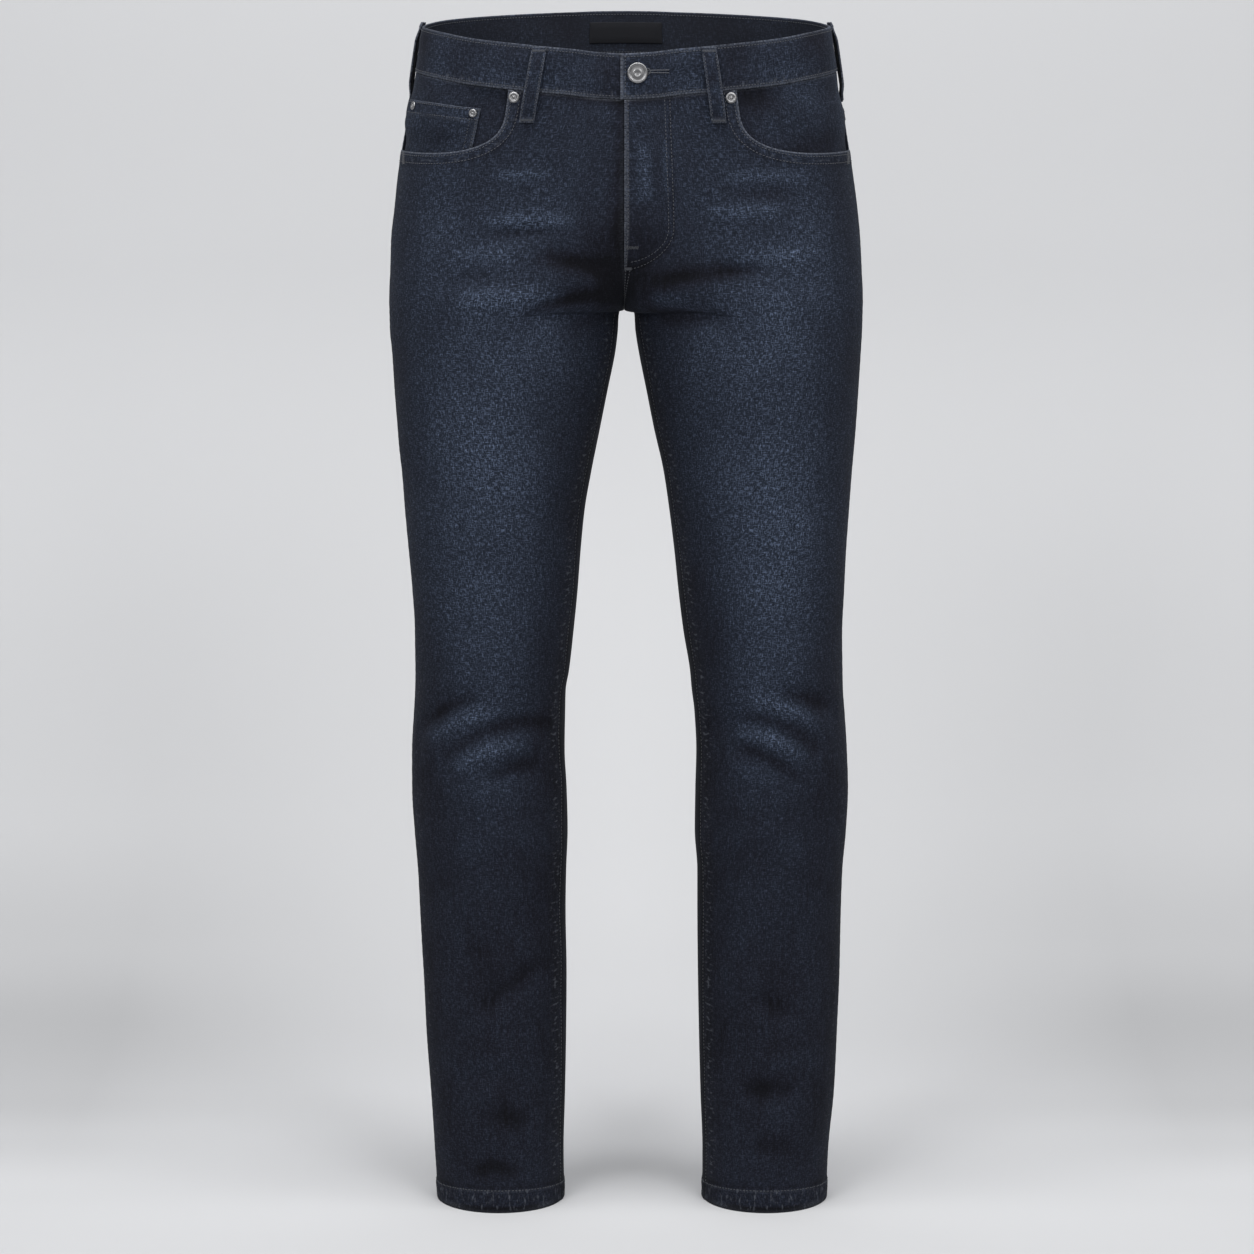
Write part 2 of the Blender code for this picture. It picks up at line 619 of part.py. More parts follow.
def facing(side, material, collection):
    """The denim piece behind a scoop pocket."""
    base = np.array(FACING_ROWS)[:, None]
    u = np.array(facing_lines(side))[None, :] + 0 * base
    height = row_height(FRONT, u, base)
    height[-1] -= SEAM_GAP / 2
    u = inset_u(side, FRONT, u, height, 1.0, 0.0)
    depth = facing_depth(side, u, base)
    outer = layer(side, FRONT, u, height, -depth)
    inner = layer(side, FRONT, u, height, -depth - CLOTH)
    return wall("facing_" + LEG_NAME[side], outer, inner, material, collection)


def coin_pocket(material, collection):
    """The small pocket on the right facing, its lower end under the front panel."""
    rows = lines_between(FACING_ROWS, COIN_BOTTOM, COIN_TOP)
    base = np.array(rows)[:, None]
    columns = lines_between(facing_lines(RIGHT), COIN_OUTER, COIN_INNER)
    u = np.array(columns)[None, :] + 0 * base
    low = (COIN_TOP - base) / (COIN_TOP - COIN_BOTTOM)
    u[:, -1:] -= COIN_TAPER * low
    base = base + 0 * u
    base[-1] += COIN_TOP_TILT * (u[-1] - COIN_OUTER) / (COIN_INNER - COIN_OUTER)
    height = row_height(FRONT, u, base)
    lift = COIN_GAP - facing_depth(RIGHT, u, base)
    outer = layer(RIGHT, FRONT, u, height, lift + COIN_THICK)
    inner = layer(RIGHT, FRONT, u, height, lift)
    return wall("coin_pocket", outer, inner, material, collection)


def back_pocket(side, material, collection):
    """A plain five-sided patch pocket on a back panel, drawn on the panel's own columns."""
    panel_lines = list(np.linspace(0.0, 1.0, BACK_COLUMNS + 1))
    columns = lines_between(panel_lines, PATCH_OUTER, PATCH_INNER)
    rows = lines_between(LEG_ROWS, PATCH_TOP - PATCH_DEPTH - PATCH_POINT, PATCH_TOP)
    base = np.array(rows)[:, None]
    u = np.array(columns)[None, :] + 0 * base
    low = np.minimum((PATCH_TOP - base) / PATCH_DEPTH, 1.0)
    u[:, :1] += PATCH_TAPER * low
    u[:, -1:] -= PATCH_TAPER * low
    from_middle = np.abs((u - u[:, :1]) / (u[:, -1:] - u[:, :1]) * 2 - 1)
    lower_edge = PATCH_TOP - PATCH_DEPTH - PATCH_POINT * (1 - from_middle)
    base = np.maximum(base, lower_edge)
    height = row_height(BACK, u, base)
    outer = layer(side, BACK, u, height, PATCH_GAP + CLOTH)
    inner = layer(side, BACK, u, height, PATCH_GAP)
    return wall("back_pocket_" + LEG_NAME[side], outer, inner, material, collection)


def round_waist(w, above, lift):
    """Points round the waist: w runs 0 to 4 from the front centre by the right side.

    Each whole number is a seam of the waist: 1 right side, 2 back centre, 3 left side.
    """
    points = np.zeros((*np.broadcast(w, above).shape, 3))
    w, above, lift = np.broadcast_arrays(w, above, lift)
    quarters = (
        (RIGHT, FRONT, (w >= 0) & (w < 1), 1 - w),
        (RIGHT, BACK, (w >= 1) & (w < 2), w - 1),
        (LEFT, BACK, (w >= 2) & (w < 3), 3 - w),
        (LEFT, FRONT, (w >= 3) & (w <= 4), w - 3),
        (LEFT, FRONT, w < 0, 1 + w),
        (RIGHT, FRONT, w > 4, 5 - w),
    )
    for side, face, chosen, u in quarters:
        if not chosen.any():
            continue
        part_u = u[chosen]
        height = seam_height(face, part_u) + above[chosen]
        bare = surface(side, face, part_u, height)
        direction = normals(side, face, part_u, height)
        points[chosen] = place(bare + direction * lift[chosen][:, None])
    return points


def band_sink(w):
    """How far the waistband's under end lies behind its upper end."""
    step = (w - BAND_STEP_START) / (BAND_STEP_END - BAND_STEP_START)
    return (BAND_THICK + LAYER_GAP) * (1 - smooth(step))


def waistband(material, collection):
    """One strip round the waist that laps over itself at the front."""
    under = np.linspace(-BAND_UNDERLAP, BAND_STEP_END, BAND_UNDER_COLUMNS + 1)
    rest = np.linspace(BAND_STEP_END, 4 + BAND_OVERLAP, BAND_COLUMNS + 1)[1:]
    w = np.concatenate([under, rest])[None, :]
    above = np.array(BAND_ROWS)[:, None]
    lift = BAND_PROUD - band_sink(w)
    outer = round_waist(w, above, lift)
    inner = round_waist(w, above, lift - BAND_THICK)
    return wall("waistband", outer, inner, material, collection)


def wrapped(side, face, u, height, lift):
    """Points over a form whose u may run past the outseam or past the centre seam."""
    u, height, lift = np.broadcast_arrays(u, height, lift)
    points = np.zeros((*u.shape, 3))
    cases = (
        (side, face, (u >= 0) & (u <= 1), u),
        (side, -face, u < 0, -u),
        (-side, face, u > 1, 2 - u),
    )
    for leg, sheet, chosen, value in cases:
        if chosen.any():
            part_u, part_h = value[chosen], height[chosen]
            out = normals(leg, sheet, part_u, part_h) * lift[chosen][:, None]
            points[chosen] = place(surface(leg, sheet, part_u, part_h) + out)
    return points


def belt_loop(name, side, face, top_x, low_x, material, collection):
    """A strip sewn down at both ends that stands off the waistband between them."""
    down = np.array(LOOP_STATIONS)[:, None]
    middle_x = top_x + (low_x - top_x) * down
    across = np.linspace(-LOOP_WIDTH / 2, LOOP_WIDTH / 2, 3)[None, :]
    length = BAND_HEIGHT + LOOP_BELOW_SEAM - LOOP_TOP_INSET
    seam_u = find_u(side, face, middle_x, SIDE_SEAM_TOP + 0 * middle_x)
    height = seam_height(face, seam_u) + BAND_HEIGHT - LOOP_TOP_INSET - down * length
    middle_u = find_u(side, face, middle_x, height)
    u = middle_u + across / cloth_rate(side, face, middle_u, height)
    stand = LOOP_STAND * smooth(down / LOOP_ARCH) * smooth((1 - down) / LOOP_ARCH)
    lift = BAND_PROUD + LOOP_GAP + stand
    inner = wrapped(side, face, u, height, lift)
    outer = wrapped(side, face, u, height, lift + LOOP_THICK)
    return wall(name, outer, inner, material, collection)


def label(material, collection):
    """The blank woven label on the waistband's inner face."""
    quarter = sum(section(RIGHT, BACK, np.array([SIDE_SEAM_TOP]))[-2:])[0]
    half = LABEL_WIDTH / 2 / quarter
    middle = 2 + LABEL_SHIFT / quarter
    w = np.linspace(middle - half, middle + half, LABEL_COLUMNS + 1)[None, :]
    low = BAND_HEIGHT - LABEL_FROM_TOP - LABEL_HEIGHT
    above = np.linspace(low, low + LABEL_HEIGHT, 3)[:, None]
    face_lift = BAND_PROUD - BAND_THICK - LAYER_GAP
    outer = round_waist(w, above, face_lift + 0 * w)
    inner = round_waist(w, above, face_lift - LABEL_THICK + 0 * w)
    return wall("label", outer, inner, material, collection)


def turned(name, profile, radius, material, collection):
    """A turned metal piece about its own Z. The profile is turned from its top down."""
    data = bpy.data.meshes.new(name)
    points = [(share * radius, 0.0, height) for share, height in reversed(profile)]
    edges = [(index, index + 1) for index in range(len(points) - 1)]
    data.from_pydata(points, edges, [])
    item = bpy.data.objects.new(name, data)
    collection.objects.link(item)
    screw = item.modifiers.new("Turn", "SCREW")
    screw.axis = "Z"
    screw.steps = TURN_STEPS
    screw.render_steps = TURN_STEPS
    screw.use_merge_vertices = True
    screw.merge_threshold = WELD
    screw.use_normal_calculate = True
    item.data.materials.append(material)
    return item


def coin_lift(u, height):
    """How far a rivet on the coin pocket lies above the form."""
    base = height + 0 * u
    for _ in range(4):
        base = base + height - row_height(FRONT, u, base)
    return COIN_GAP + COIN_THICK + COIN_RIVET_GAP - facing_depth(RIGHT, u, base)


def seat(item, side, x, height, lift_at):
    """Set a turned piece on the front, flat on what carries it."""
    spot = np.array([height])
    u = find_u(side, FRONT, np.array([x]), spot)
    lengths = section(side, FRONT, spot)[-2:]
    step = SEAT_REACH / (lengths[0] + lengths[1])
    near_u = u + step * np.array([0, 1, -1, 0, 0])
    near_height = height + SEAT_REACH * np.array([0, 0, 0, 1, -1])
    points = layer(side, FRONT, near_u, near_height, lift_at(near_u, near_height))
    direction = np.cross(points[1] - points[2], points[3] - points[4]) * side * FRONT
    axis = Vector(direction).normalized()
    turn = axis.to_track_quat("Z", "Y").to_matrix().to_4x4()
    item.matrix_world = Matrix.Translation(Vector(points[0])) @ turn


def clear_scene():
    """Remove whatever the file holds."""
    for item in list(bpy.data.objects):
        bpy.data.objects.remove(item)


def build():
    """Make every piece of the jeans."""
    clear_scene()
    pieces = bpy.data.collections.new("slim_jeans")
    bpy.context.scene.collection.children.link(pieces)
    denim = principled("denim", (0.030, 0.038, 0.058), 0.85)
    facing_denim = principled("facing_denim", (0.028, 0.036, 0.055), 0.85)
    band_denim = principled("waistband_denim", (0.032, 0.040, 0.062), 0.85)
    weave = principled("label_weave", (0.020, 0.021, 0.023), 0.70)
    metal = principled("antique_metal", (0.30, 0.30, 0.31), 0.38, 1.0)

    gap = SEAM_GAP / 2
    back_rows = LEG_ROWS + (SCOOP_BOTTOM, SCOOP_CORNER, YOKE_SEAM)
    yoke_rows = UPPER_ROWS[UPPER_ROWS.index(YOKE_SEAM):]
    for side in (RIGHT, LEFT):
        name = LEG_NAME[side]
        front_panel(side, denim, pieces)
        back_panel("back_" + name, side, back_rows, (0.0, gap), denim, pieces)
        back_panel("yoke_" + name, side, yoke_rows, (gap, gap), denim, pieces)
        facing(side, facing_denim, pieces)
        back_pocket(side, denim, pieces)
    coin_pocket(facing_denim, pieces)
    waistband(band_denim, pieces)
    for name, side, face, top_x, low_x in BELT_LOOPS:
        belt_loop(name, side, face, top_x, low_x, band_denim, pieces)
    label(weave, pieces)

    button = turned("button", BUTTON_PROFILE, BUTTON_RADIUS, metal, pieces)
    seat(button, LEFT, BUTTON_X, BUTTON_HEIGHT, lambda u, height: BAND_PROUD + LAYER_GAP)
    for name, side, x, height, on_coin_pocket in RIVETS:
        radius = COIN_RIVET_RADIUS if on_coin_pocket else RIVET_RADIUS
        rivet = turned(name, RIVET_PROFILE, radius, metal, pieces)
        seat(rivet, side, x, height, coin_lift if on_coin_pocket else lambda u, height: LAYER_GAP)


build()
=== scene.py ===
import math

import bpy
import numpy as np
from mathutils import Matrix, Vector


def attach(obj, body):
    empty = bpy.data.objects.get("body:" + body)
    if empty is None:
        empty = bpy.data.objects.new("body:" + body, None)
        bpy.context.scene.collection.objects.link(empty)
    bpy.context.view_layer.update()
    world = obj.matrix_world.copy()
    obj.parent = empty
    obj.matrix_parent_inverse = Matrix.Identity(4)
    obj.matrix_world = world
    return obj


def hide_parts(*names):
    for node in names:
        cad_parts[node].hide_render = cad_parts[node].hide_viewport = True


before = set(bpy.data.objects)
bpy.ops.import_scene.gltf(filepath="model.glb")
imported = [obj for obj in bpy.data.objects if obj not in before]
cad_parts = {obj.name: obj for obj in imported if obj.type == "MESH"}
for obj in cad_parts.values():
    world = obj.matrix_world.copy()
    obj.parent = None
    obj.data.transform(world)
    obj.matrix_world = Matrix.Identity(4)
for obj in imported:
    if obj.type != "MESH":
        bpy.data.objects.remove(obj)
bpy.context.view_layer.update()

bl_info = {
    "name": "Slim jeans looks",
    "version": (1, 0, 0),
    "blender": (4, 5, 0),
    "location": "3D View > Sidebar > Jeans",
    "description": "Cloth, stitching, metal and studio for a pair of slim jeans",
    "category": "Object",
}

# Fine form of the cloth: steps of its grids, and sizes of seams, puckers and hems
RIM_STEPS = 3
FINE_COLUMNS = 80
FINE_SCOOP_COLUMNS = 44
BACK_FINE_COLUMNS = 80
BEND_START = 0.925
SCOOP_EDGE_POINTS = 40
INSEAM_RISE = 0.0006
INSEAM_INSET = 0.0043
HEM_INSET = 0.0024
PUCKER_LENGTH = 0.0095
PUCKER_HEIGHT = 0.00025
ROPE_LENGTH = 0.0095
ROPE_HEIGHT = 0.00055
HEM_LINE = 0.0160
HEM_BOW = 0.0055
HEM_BEND_TOP = 0.050
HEM_MARKS = 0.8
DRAPE_HEIGHT = 0.0005
SCOOP_CORNER = 0.9735
YOKE_SEAM = 0.9855
SCOOP_RISE = 0.0004
FELL_RISE = 0.0007
WAIST_QUARTER = 0.215

# The fly: its lap, the heights where its sewing ends and turns, and its two lines
FLY_RISE = 0.0012
FLY_BOTTOM = 0.857
FLY_TURN = 0.8907
FLY_OUTER = 0.0396
FLY_INNER = 0.0332

# How far the right panels run on under the left ones at the centre, and how deep
TUCK_REACH = 0.0032
TUCK_DEPTH = 0.0019
TUCK_START = 0.822

# Wear on the rounded edges, from none to the pale core of the yarn
SEAM_WEAR = 0.25
HEM_WEAR = 0.30
EDGE_WEAR = 0.75
SCOOP_WEAR = 0.85
FLY_WEAR = 0.80

# Steps of turned pieces, bar tacks and thread
TURN_FINE = 6
TURN_FINE_STEPS = 48
TACK_WIDTH = 0.0022
THREAD_SINK = 0.0001

# Sewing lines, as distances in from the edge or seam that each follows
SEAT_LINES = (0.0030, 0.0085)
RISE_LINES = (0.0020, 0.0070)
SCOOP_LINES = (0.0030, 0.0095)
COIN_TOP_LINES = (0.0020, 0.0110)
COIN_SIDE_LINES = (0.0016, 0.0060)
YOKE_LINES = (0.0022, 0.0080)
PATCH_LINES = (0.0022, 0.0085)
BAND_LINE = 0.0030
BAND_END_LINE = 0.012

# Pitch, length and thread radius of the close sewing
TACK_STITCHES = (0.0005, 0.0012, 0.00024)
BUTTONHOLE_STITCHES = (0.0006, 0.0011, 0.00045)

# Pale streaks down the fly: x across the front view, low and high end, width and strength
FLY_STREAKS = (
    (0.0105, 0.912, 0.972, 0.0052, 0.45),
    (0.0312, 0.918, 0.975, 0.0025, 0.30),
)

# Studio: floor, sweep and wall from the hems up, and the lights as name, place, aim, width,
# height, power and colour
FLOOR_FRONT = -2.5
SWEEP_START = 0.45
SWEEP_RADIUS = 0.80
SWEEP_STEPS = 33
WALL_TOP = 4.0
STUDIO_HALF = 4.0
SENSOR_WIDTH = 36.0

# Painted light and shade on the paper along its run, from the floor's front up the wall: run, and
# the paper's painted brightness in the middle and at the sides, below 1 painted shade and above 1
# painted light. SHADE_SIDE is the square of how far out the sides begin.
SHADE_SIDE = 0.30
PAPER_LIGHT_AND_SHADE = (
    (-0.15, 0.903, 0.880),
    (-0.02, 0.935, 0.900),
    (0.05, 0.920, 0.925),
    (0.20, 1.035, 0.845),
    (0.35, 1.030, 0.745),
    (0.63, 0.925, 0.665),
    (0.85, 0.893, 0.757),
    (1.17, 0.890, 0.858),
    (1.83, 0.915, 0.937),
    (2.35, 0.858, 0.852),
)

# The soft shadow painted on the paper between the hems, and the pale glow painted round it
PAINTED_SHADOW_PLACE = (0.002, 0.10)
PAINTED_SHADOW_SIZE = 0.055
PAINTED_SHADOW_DEPTH = 0.17
PAINTED_GLOW_SIZE = 0.25
PAINTED_GLOW = 0.08

AIR_COLOUR = (0.98, 0.985, 1.00)
AIR_STRENGTH = 0.26
LIGHTS = (
    ("key_left", (-1.5, -3.0, 1.3), (0.0, 0.0, -0.40), 1.3, 1.3, 36.0, (1.0, 1.0, 1.0)),
    ("key_right", (1.5, -3.0, 1.3), (0.0, 0.0, -0.40), 1.3, 1.3, 33.0, (1.0, 1.0, 1.0)),
    ("top", (0.0, -0.8, 2.3), (0.0, 0.0, -0.7), 2.6, 1.6, 44.0, (1.0, 1.0, 1.0)),
    ("wall", (0.0, -0.4, 2.0), (0.0, 1.5, -0.5), 3.6, 0.8, 40.0, (1.0, 1.0, 1.0)),
)

# Driving sizes
WAIST_HEIGHT = 1.050
CLOTH = 0.0013
SEAM_GAP = 0.0003
LAYER_GAP = 0.0003
CROTCH_HEIGHT = 0.8170
# Where the legs' inner outlines end, and how far up the form takes to close over them
GAP_TOP = 0.8155
GAP_EASE = 0.030
CENTRE_X = -0.0026
SIDE_SEAM_TOP = 1.0288
FRONT_DROP = 0.0245
BACK_RISE = 0.0150
HEM_DIP = 0.0018
HEM_FADE = 0.040
DROP_START = 0.890
FRONT_CURVE = 0.080
BACK_CURVE = 0.105

# Hems
HEM_HEIGHT = 0.0140
HEM_PROUD = 0.0005
HEM_THICK = 0.0026

# Scoop pockets, facings and coin pocket
SCOOP_BOTTOM = 0.9600
SCOOP_WIDTH = {-1: 0.582, 1: 0.597}
SCOOP_POWER = 3.8
FACING_BELOW = 0.0120
FACING_BEYOND = 0.060
FACING_SINK_START = 0.60
FACING_SINK_END = 0.93
UNDER_GAP = 0.0014
COIN_TOP = 1.0050
COIN_TOP_TILT = 0.0045
COIN_BOTTOM = 0.9560
COIN_OUTER = 0.042
COIN_INNER = 0.491
COIN_TAPER = 0.028
COIN_THICK = 0.0010
COIN_GAP = 0.0005

# Yoke and back pockets
YOKE_DROP = 0.026
PATCH_TOP = 0.9720
PATCH_DEPTH = 0.1040
PATCH_POINT = 0.0220
PATCH_OUTER = 0.235
PATCH_INNER = 0.800
PATCH_TAPER = 0.028
PATCH_GAP = 0.0005
PATCH_HEM = 0.013
PATCH_PILLOW = 0.0010

# Waistband
BAND_HEIGHT = 0.0400
BAND_THICK = 0.0022
BAND_PROUD = 0.0006
BAND_UNDERLAP = 0.200
BAND_OVERLAP = 0.009
BAND_STEP_START = 0.035
BAND_STEP_END = 0.200
BAND_PUCKER = 0.00016
BAND_PUCKER_LENGTH = 0.0078

# Belt loops
LOOP_WIDTH = 0.0130
LOOP_THICK = 0.0018
LOOP_STAND = 0.0032
LOOP_GAP = 0.0006
LOOP_ARCH = 0.27
LOOP_TOP_INSET = 0.0005
LOOP_BELOW_SEAM = 0.0275

# Label
LABEL_WIDTH = 0.0700
LABEL_SHIFT = 0.0018
LABEL_HEIGHT = 0.0190
LABEL_THICK = 0.0008
LABEL_FROM_TOP = 0.0100

# Button and rivets
BUTTON_X = 0.0091
BUTTON_HEIGHT = 1.0275
BUTTON_RADIUS = 0.0090
RIVET_RADIUS = 0.0050
COIN_RIVET_RADIUS = 0.0038
COIN_RIVET_GAP = 0.0004
SEAT_REACH = 0.003

RIGHT, LEFT = -1, 1
FRONT, BACK = -1, 1
LEG_NAME = {RIGHT: "right", LEFT: "left"}

# Pull of a quarter curve's handles, and the limits of the numerical work
ARC = 0.5523
STEP_U = 0.002
STEP_HEIGHT = 0.0005
HALVINGS = 30

OUTLINE_COLUMNS = ("height", "right_outer", "right_inner", "left_inner", "left_outer")
OUTLINE_ROWS = (
    (0.000, -0.1752, -0.0587, 0.0698, 0.1844),
    (0.014, -0.1756, -0.0588, 0.0702, 0.1846),
    (0.043, -0.1772, -0.0591, 0.0702, 0.1856),
    (0.100, -0.1806, -0.0576, 0.0682, 0.1907),
    (0.156, -0.1843, -0.0565, 0.0667, 0.1931),
    (0.212, -0.1867, -0.0560, 0.0656, 0.1950),
    (0.268, -0.1895, -0.0568, 0.0650, 0.1959),
    (0.306, -0.1911, -0.0562, 0.0649, 0.1970),
    (0.343, -0.1940, -0.0548, 0.0625, 0.2000),
    (0.380, -0.1960, -0.0556, 0.0629, 0.2015),
    (0.417, -0.1958, -0.0574, 0.0637, 0.2003),
    (0.454, -0.1937, -0.0568, 0.0618, 0.1978),
    (0.472, -0.1926, -0.0563, 0.0595, 0.1963),
    (0.491, -0.1921, -0.0531, 0.0577, 0.1957),
    (0.527, -0.1922, -0.0490, 0.0517, 0.1950),
    (0.564, -0.1943, -0.0453, 0.0471, 0.1965),
    (0.600, -0.1972, -0.0425, 0.0434, 0.1981),
    (0.637, -0.2005, -0.0388, 0.0388, 0.2005),
    (0.673, -0.2029, -0.0325, 0.0334, 0.2029),
    (0.709, -0.2063, -0.0252, 0.0252, 0.2058),
    (0.745, -0.2091, -0.0180, 0.0180, 0.2082),
    (0.781, -0.2111, -0.0108, 0.0108, 0.2102),
    (0.799, -0.2127, -0.0087, 0.0080, 0.2110),
    (0.808, -0.2129, -0.0080, 0.0072, 0.2112),
    (0.815, -0.2131, -0.0068, 0.0062, 0.2113),
    (0.819, -0.2132, -0.0028, -0.0024, 0.2114),
    (0.826, -0.2134, -0.0026, -0.0026, 0.2116),
    (0.853, -0.2123, -0.0026, -0.0026, 0.2105),
    (0.880, -0.2112, -0.0026, -0.0026, 0.2090),
    (0.906, -0.2083, -0.0026, -0.0026, 0.2065),
    (0.933, -0.2054, -0.0026, -0.0026, 0.2028),
    (0.960, -0.2012, -0.0026, -0.0026, 0.1985),
    (0.977, -0.1980, -0.0026, -0.0026, 0.1957),
    (0.995, -0.1950, -0.0026, -0.0026, 0.1929),
    (1.012, -0.1908, -0.0026, -0.0026, 0.1884),
    (1.029, -0.1876, -0.0026, -0.0026, 0.1864),
    (1.068, -0.1813, -0.0026, -0.0026, 0.1802),
    (1.095, -0.1780, -0.0026, -0.0026, 0.1765),
)

PROFILE_COLUMNS = (
    "height", "front", "back", "outseam", "inseam",
    "front_share", "back_share", "front_centre", "back_centre",
)
PROFILE_ROWS = (
    (0.000, -0.0600, 0.0520, 0.0020, 0.0000, 0.50, 0.50, 0.0, 0.0),
    (0.100, -0.0590, 0.0560, 0.0020, 0.0000, 0.50, 0.50, 0.0, 0.0),
    (0.250, -0.0580, 0.0670, 0.0030, 0.0020, 0.50, 0.50, 0.0, 0.0),
    (0.350, -0.0610, 0.0700, 0.0030, 0.0040, 0.50, 0.50, 0.0, 0.0),
    (0.440, -0.0660, 0.0640, 0.0020, 0.0040, 0.50, 0.50, 0.0, 0.0),
    (0.510, -0.0720, 0.0610, 0.0000, 0.0020, 0.50, 0.50, 0.0, 0.0),
    (0.600, -0.0790, 0.0700, 0.0000, 0.0020, 0.50, 0.50, 0.0, 0.0),
    (0.700, -0.0860, 0.0830, 0.0010, 0.0060, 0.50, 0.52, 0.0, 0.0),
    (0.780, -0.0900, 0.0960, 0.0030, 0.0100, 0.50, 0.54, 0.0, 0.0),
    (0.819, -0.0905, 0.1035, 0.0040, 0.0120, 0.50, 0.54, 0.0, 0.0),
    (0.860, -0.0900, 0.1110, 0.0050, 0.0120, 0.47, 0.52, 0.006, 0.016),
    (0.900, -0.0885, 0.1130, 0.0050, 0.0120, 0.44, 0.49, 0.002, 0.012),
    (0.950, -0.0865, 0.1070, 0.0040, 0.0120, 0.40, 0.46, -0.0010, 0.005),
    (1.000, -0.0845, 0.0970, 0.0020, 0.0120, 0.36, 0.42, -0.0015, 0.001),
    (1.030, -0.0835, 0.0915, 0.0010, 0.0120, 0.34, 0.38, -0.0015, -0.0010),
    (1.068, -0.0825, 0.0885, 0.0000, 0.0120, 0.33, 0.34, -0.0015, -0.0015),
    (1.095, -0.0820, 0.0880, 0.0000, 0.0120, 0.33, 0.34, -0.0015, -0.0015),
)

# How the waistband seam falls to the front and rises to the back, from the outseam inwards
WAIST_COLUMNS = ("u", "front_fall", "back_climb")
WAIST_ROWS = (
    (0.00, 0.000, 0.000),
    (0.12, 0.080, 0.190),
    (0.27, 0.235, 0.430),
    (0.44, 0.475, 0.640),
    (0.60, 0.650, 0.800),
    (0.75, 0.810, 0.910),
    (0.88, 0.930, 0.975),
    (1.00, 1.000, 1.000),
)

# The largest folds. Each runs from start over middle to end on one face of one leg,
# x across the front view and z up from the hems. A depth below zero is a trough.
FOLD_COLUMNS = (
    "side", "face", "start_x", "start_z", "middle_x", "middle_z", "end_x", "end_z",
    "width", "depth",
)
FOLD_ROWS = (
    (RIGHT, FRONT, -0.190, 0.440, -0.165, 0.462, -0.131, 0.477, 0.012, -0.0032),
    (RIGHT, FRONT, -0.170, 0.412, -0.130, 0.449, -0.070, 0.448, 0.013, -0.0042),
    (RIGHT, FRONT, -0.185, 0.425, -0.140, 0.430, -0.095, 0.433, 0.014, 0.0026),
    (RIGHT, FRONT, -0.126, 0.396, -0.105, 0.409, -0.076, 0.414, 0.012, -0.0028),
    (RIGHT, FRONT, -0.136, 0.184, -0.108, 0.209, -0.070, 0.230, 0.013, -0.0030),
    (RIGHT, FRONT, -0.156, 0.120, -0.122, 0.140, -0.082, 0.119, 0.012, -0.0024),
    (RIGHT, FRONT, -0.078, 0.827, -0.046, 0.826, -0.014, 0.830, 0.012, -0.0036),
    (RIGHT, FRONT, -0.150, 0.831, -0.100, 0.832, -0.055, 0.838, 0.014, 0.0022),
    (RIGHT, FRONT, -0.123, 0.889, -0.093, 0.890, -0.064, 0.890, 0.013, -0.0020),
    (LEFT, FRONT, 0.136, 0.480, 0.162, 0.474, 0.190, 0.458, 0.012, -0.0032),
    (LEFT, FRONT, 0.072, 0.444, 0.122, 0.461, 0.177, 0.420, 0.013, -0.0042),
    (LEFT, FRONT, 0.095, 0.440, 0.135, 0.440, 0.165, 0.418, 0.012, 0.0024),
    (LEFT, FRONT, 0.088, 0.426, 0.120, 0.425, 0.156, 0.397, 0.011, -0.0028),
    (LEFT, FRONT, 0.114, 0.203, 0.131, 0.193, 0.150, 0.178, 0.013, -0.0024),
    (LEFT, FRONT, 0.104, 0.106, 0.128, 0.117, 0.152, 0.107, 0.013, -0.0022),
    (LEFT, FRONT, 0.012, 0.829, 0.040, 0.822, 0.074, 0.824, 0.012, -0.0032),
    (LEFT, FRONT, 0.080, 0.856, 0.104, 0.857, 0.130, 0.859, 0.013, -0.0020),
    (RIGHT, BACK, -0.175, 0.470, -0.125, 0.455, -0.075, 0.472, 0.013, -0.0040),
    (RIGHT, BACK, -0.180, 0.430, -0.130, 0.418, -0.080, 0.424, 0.013, -0.0036),
    (RIGHT, BACK, -0.165, 0.805, -0.110, 0.786, -0.055, 0.790, 0.014, -0.0034),
    (LEFT, BACK, 0.175, 0.466, 0.128, 0.452, 0.080, 0.470, 0.013, -0.0040),
    (LEFT, BACK, 0.182, 0.426, 0.132, 0.414, 0.084, 0.422, 0.013, -0.0036),
    (LEFT, BACK, 0.160, 0.801, 0.108, 0.784, 0.055, 0.790, 0.014, -0.0034),
)
FOLD_POINTS = 9

# Rivets: x across the front view, height up from the hems, and whether each is on the coin pocket
RIVETS = (
    ("rivet_right", RIGHT, -0.0985, 1.0065, False),
    ("rivet_left", LEFT, 0.0906, 1.0060, False),
    ("coin_rivet_inner", RIGHT, -0.1350, 0.9928, True),
    ("coin_rivet_outer", RIGHT, -0.1872, 0.9985, True),
)

# Turned profiles from the axis at the base round to the axis on top, as shares of the radius
# and heights
BUTTON_PROFILE = (
    (0.00, 0.0), (0.86, 0.0), (1.00, 0.0008), (1.00, 0.0018), (0.93, 0.0025), (0.80, 0.0024),
    (0.68, 0.0019), (0.42, 0.0021), (0.34, 0.0024), (0.22, 0.0019), (0.00, 0.0017),
)
RIVET_PROFILE = (
    (0.00, 0.0), (0.94, 0.0), (1.00, 0.0005), (0.90, 0.0012), (0.70, 0.0014),
    (0.50, 0.0011), (0.44, 0.0006), (0.28, 0.0006), (0.20, 0.0013), (0.00, 0.0016),
)

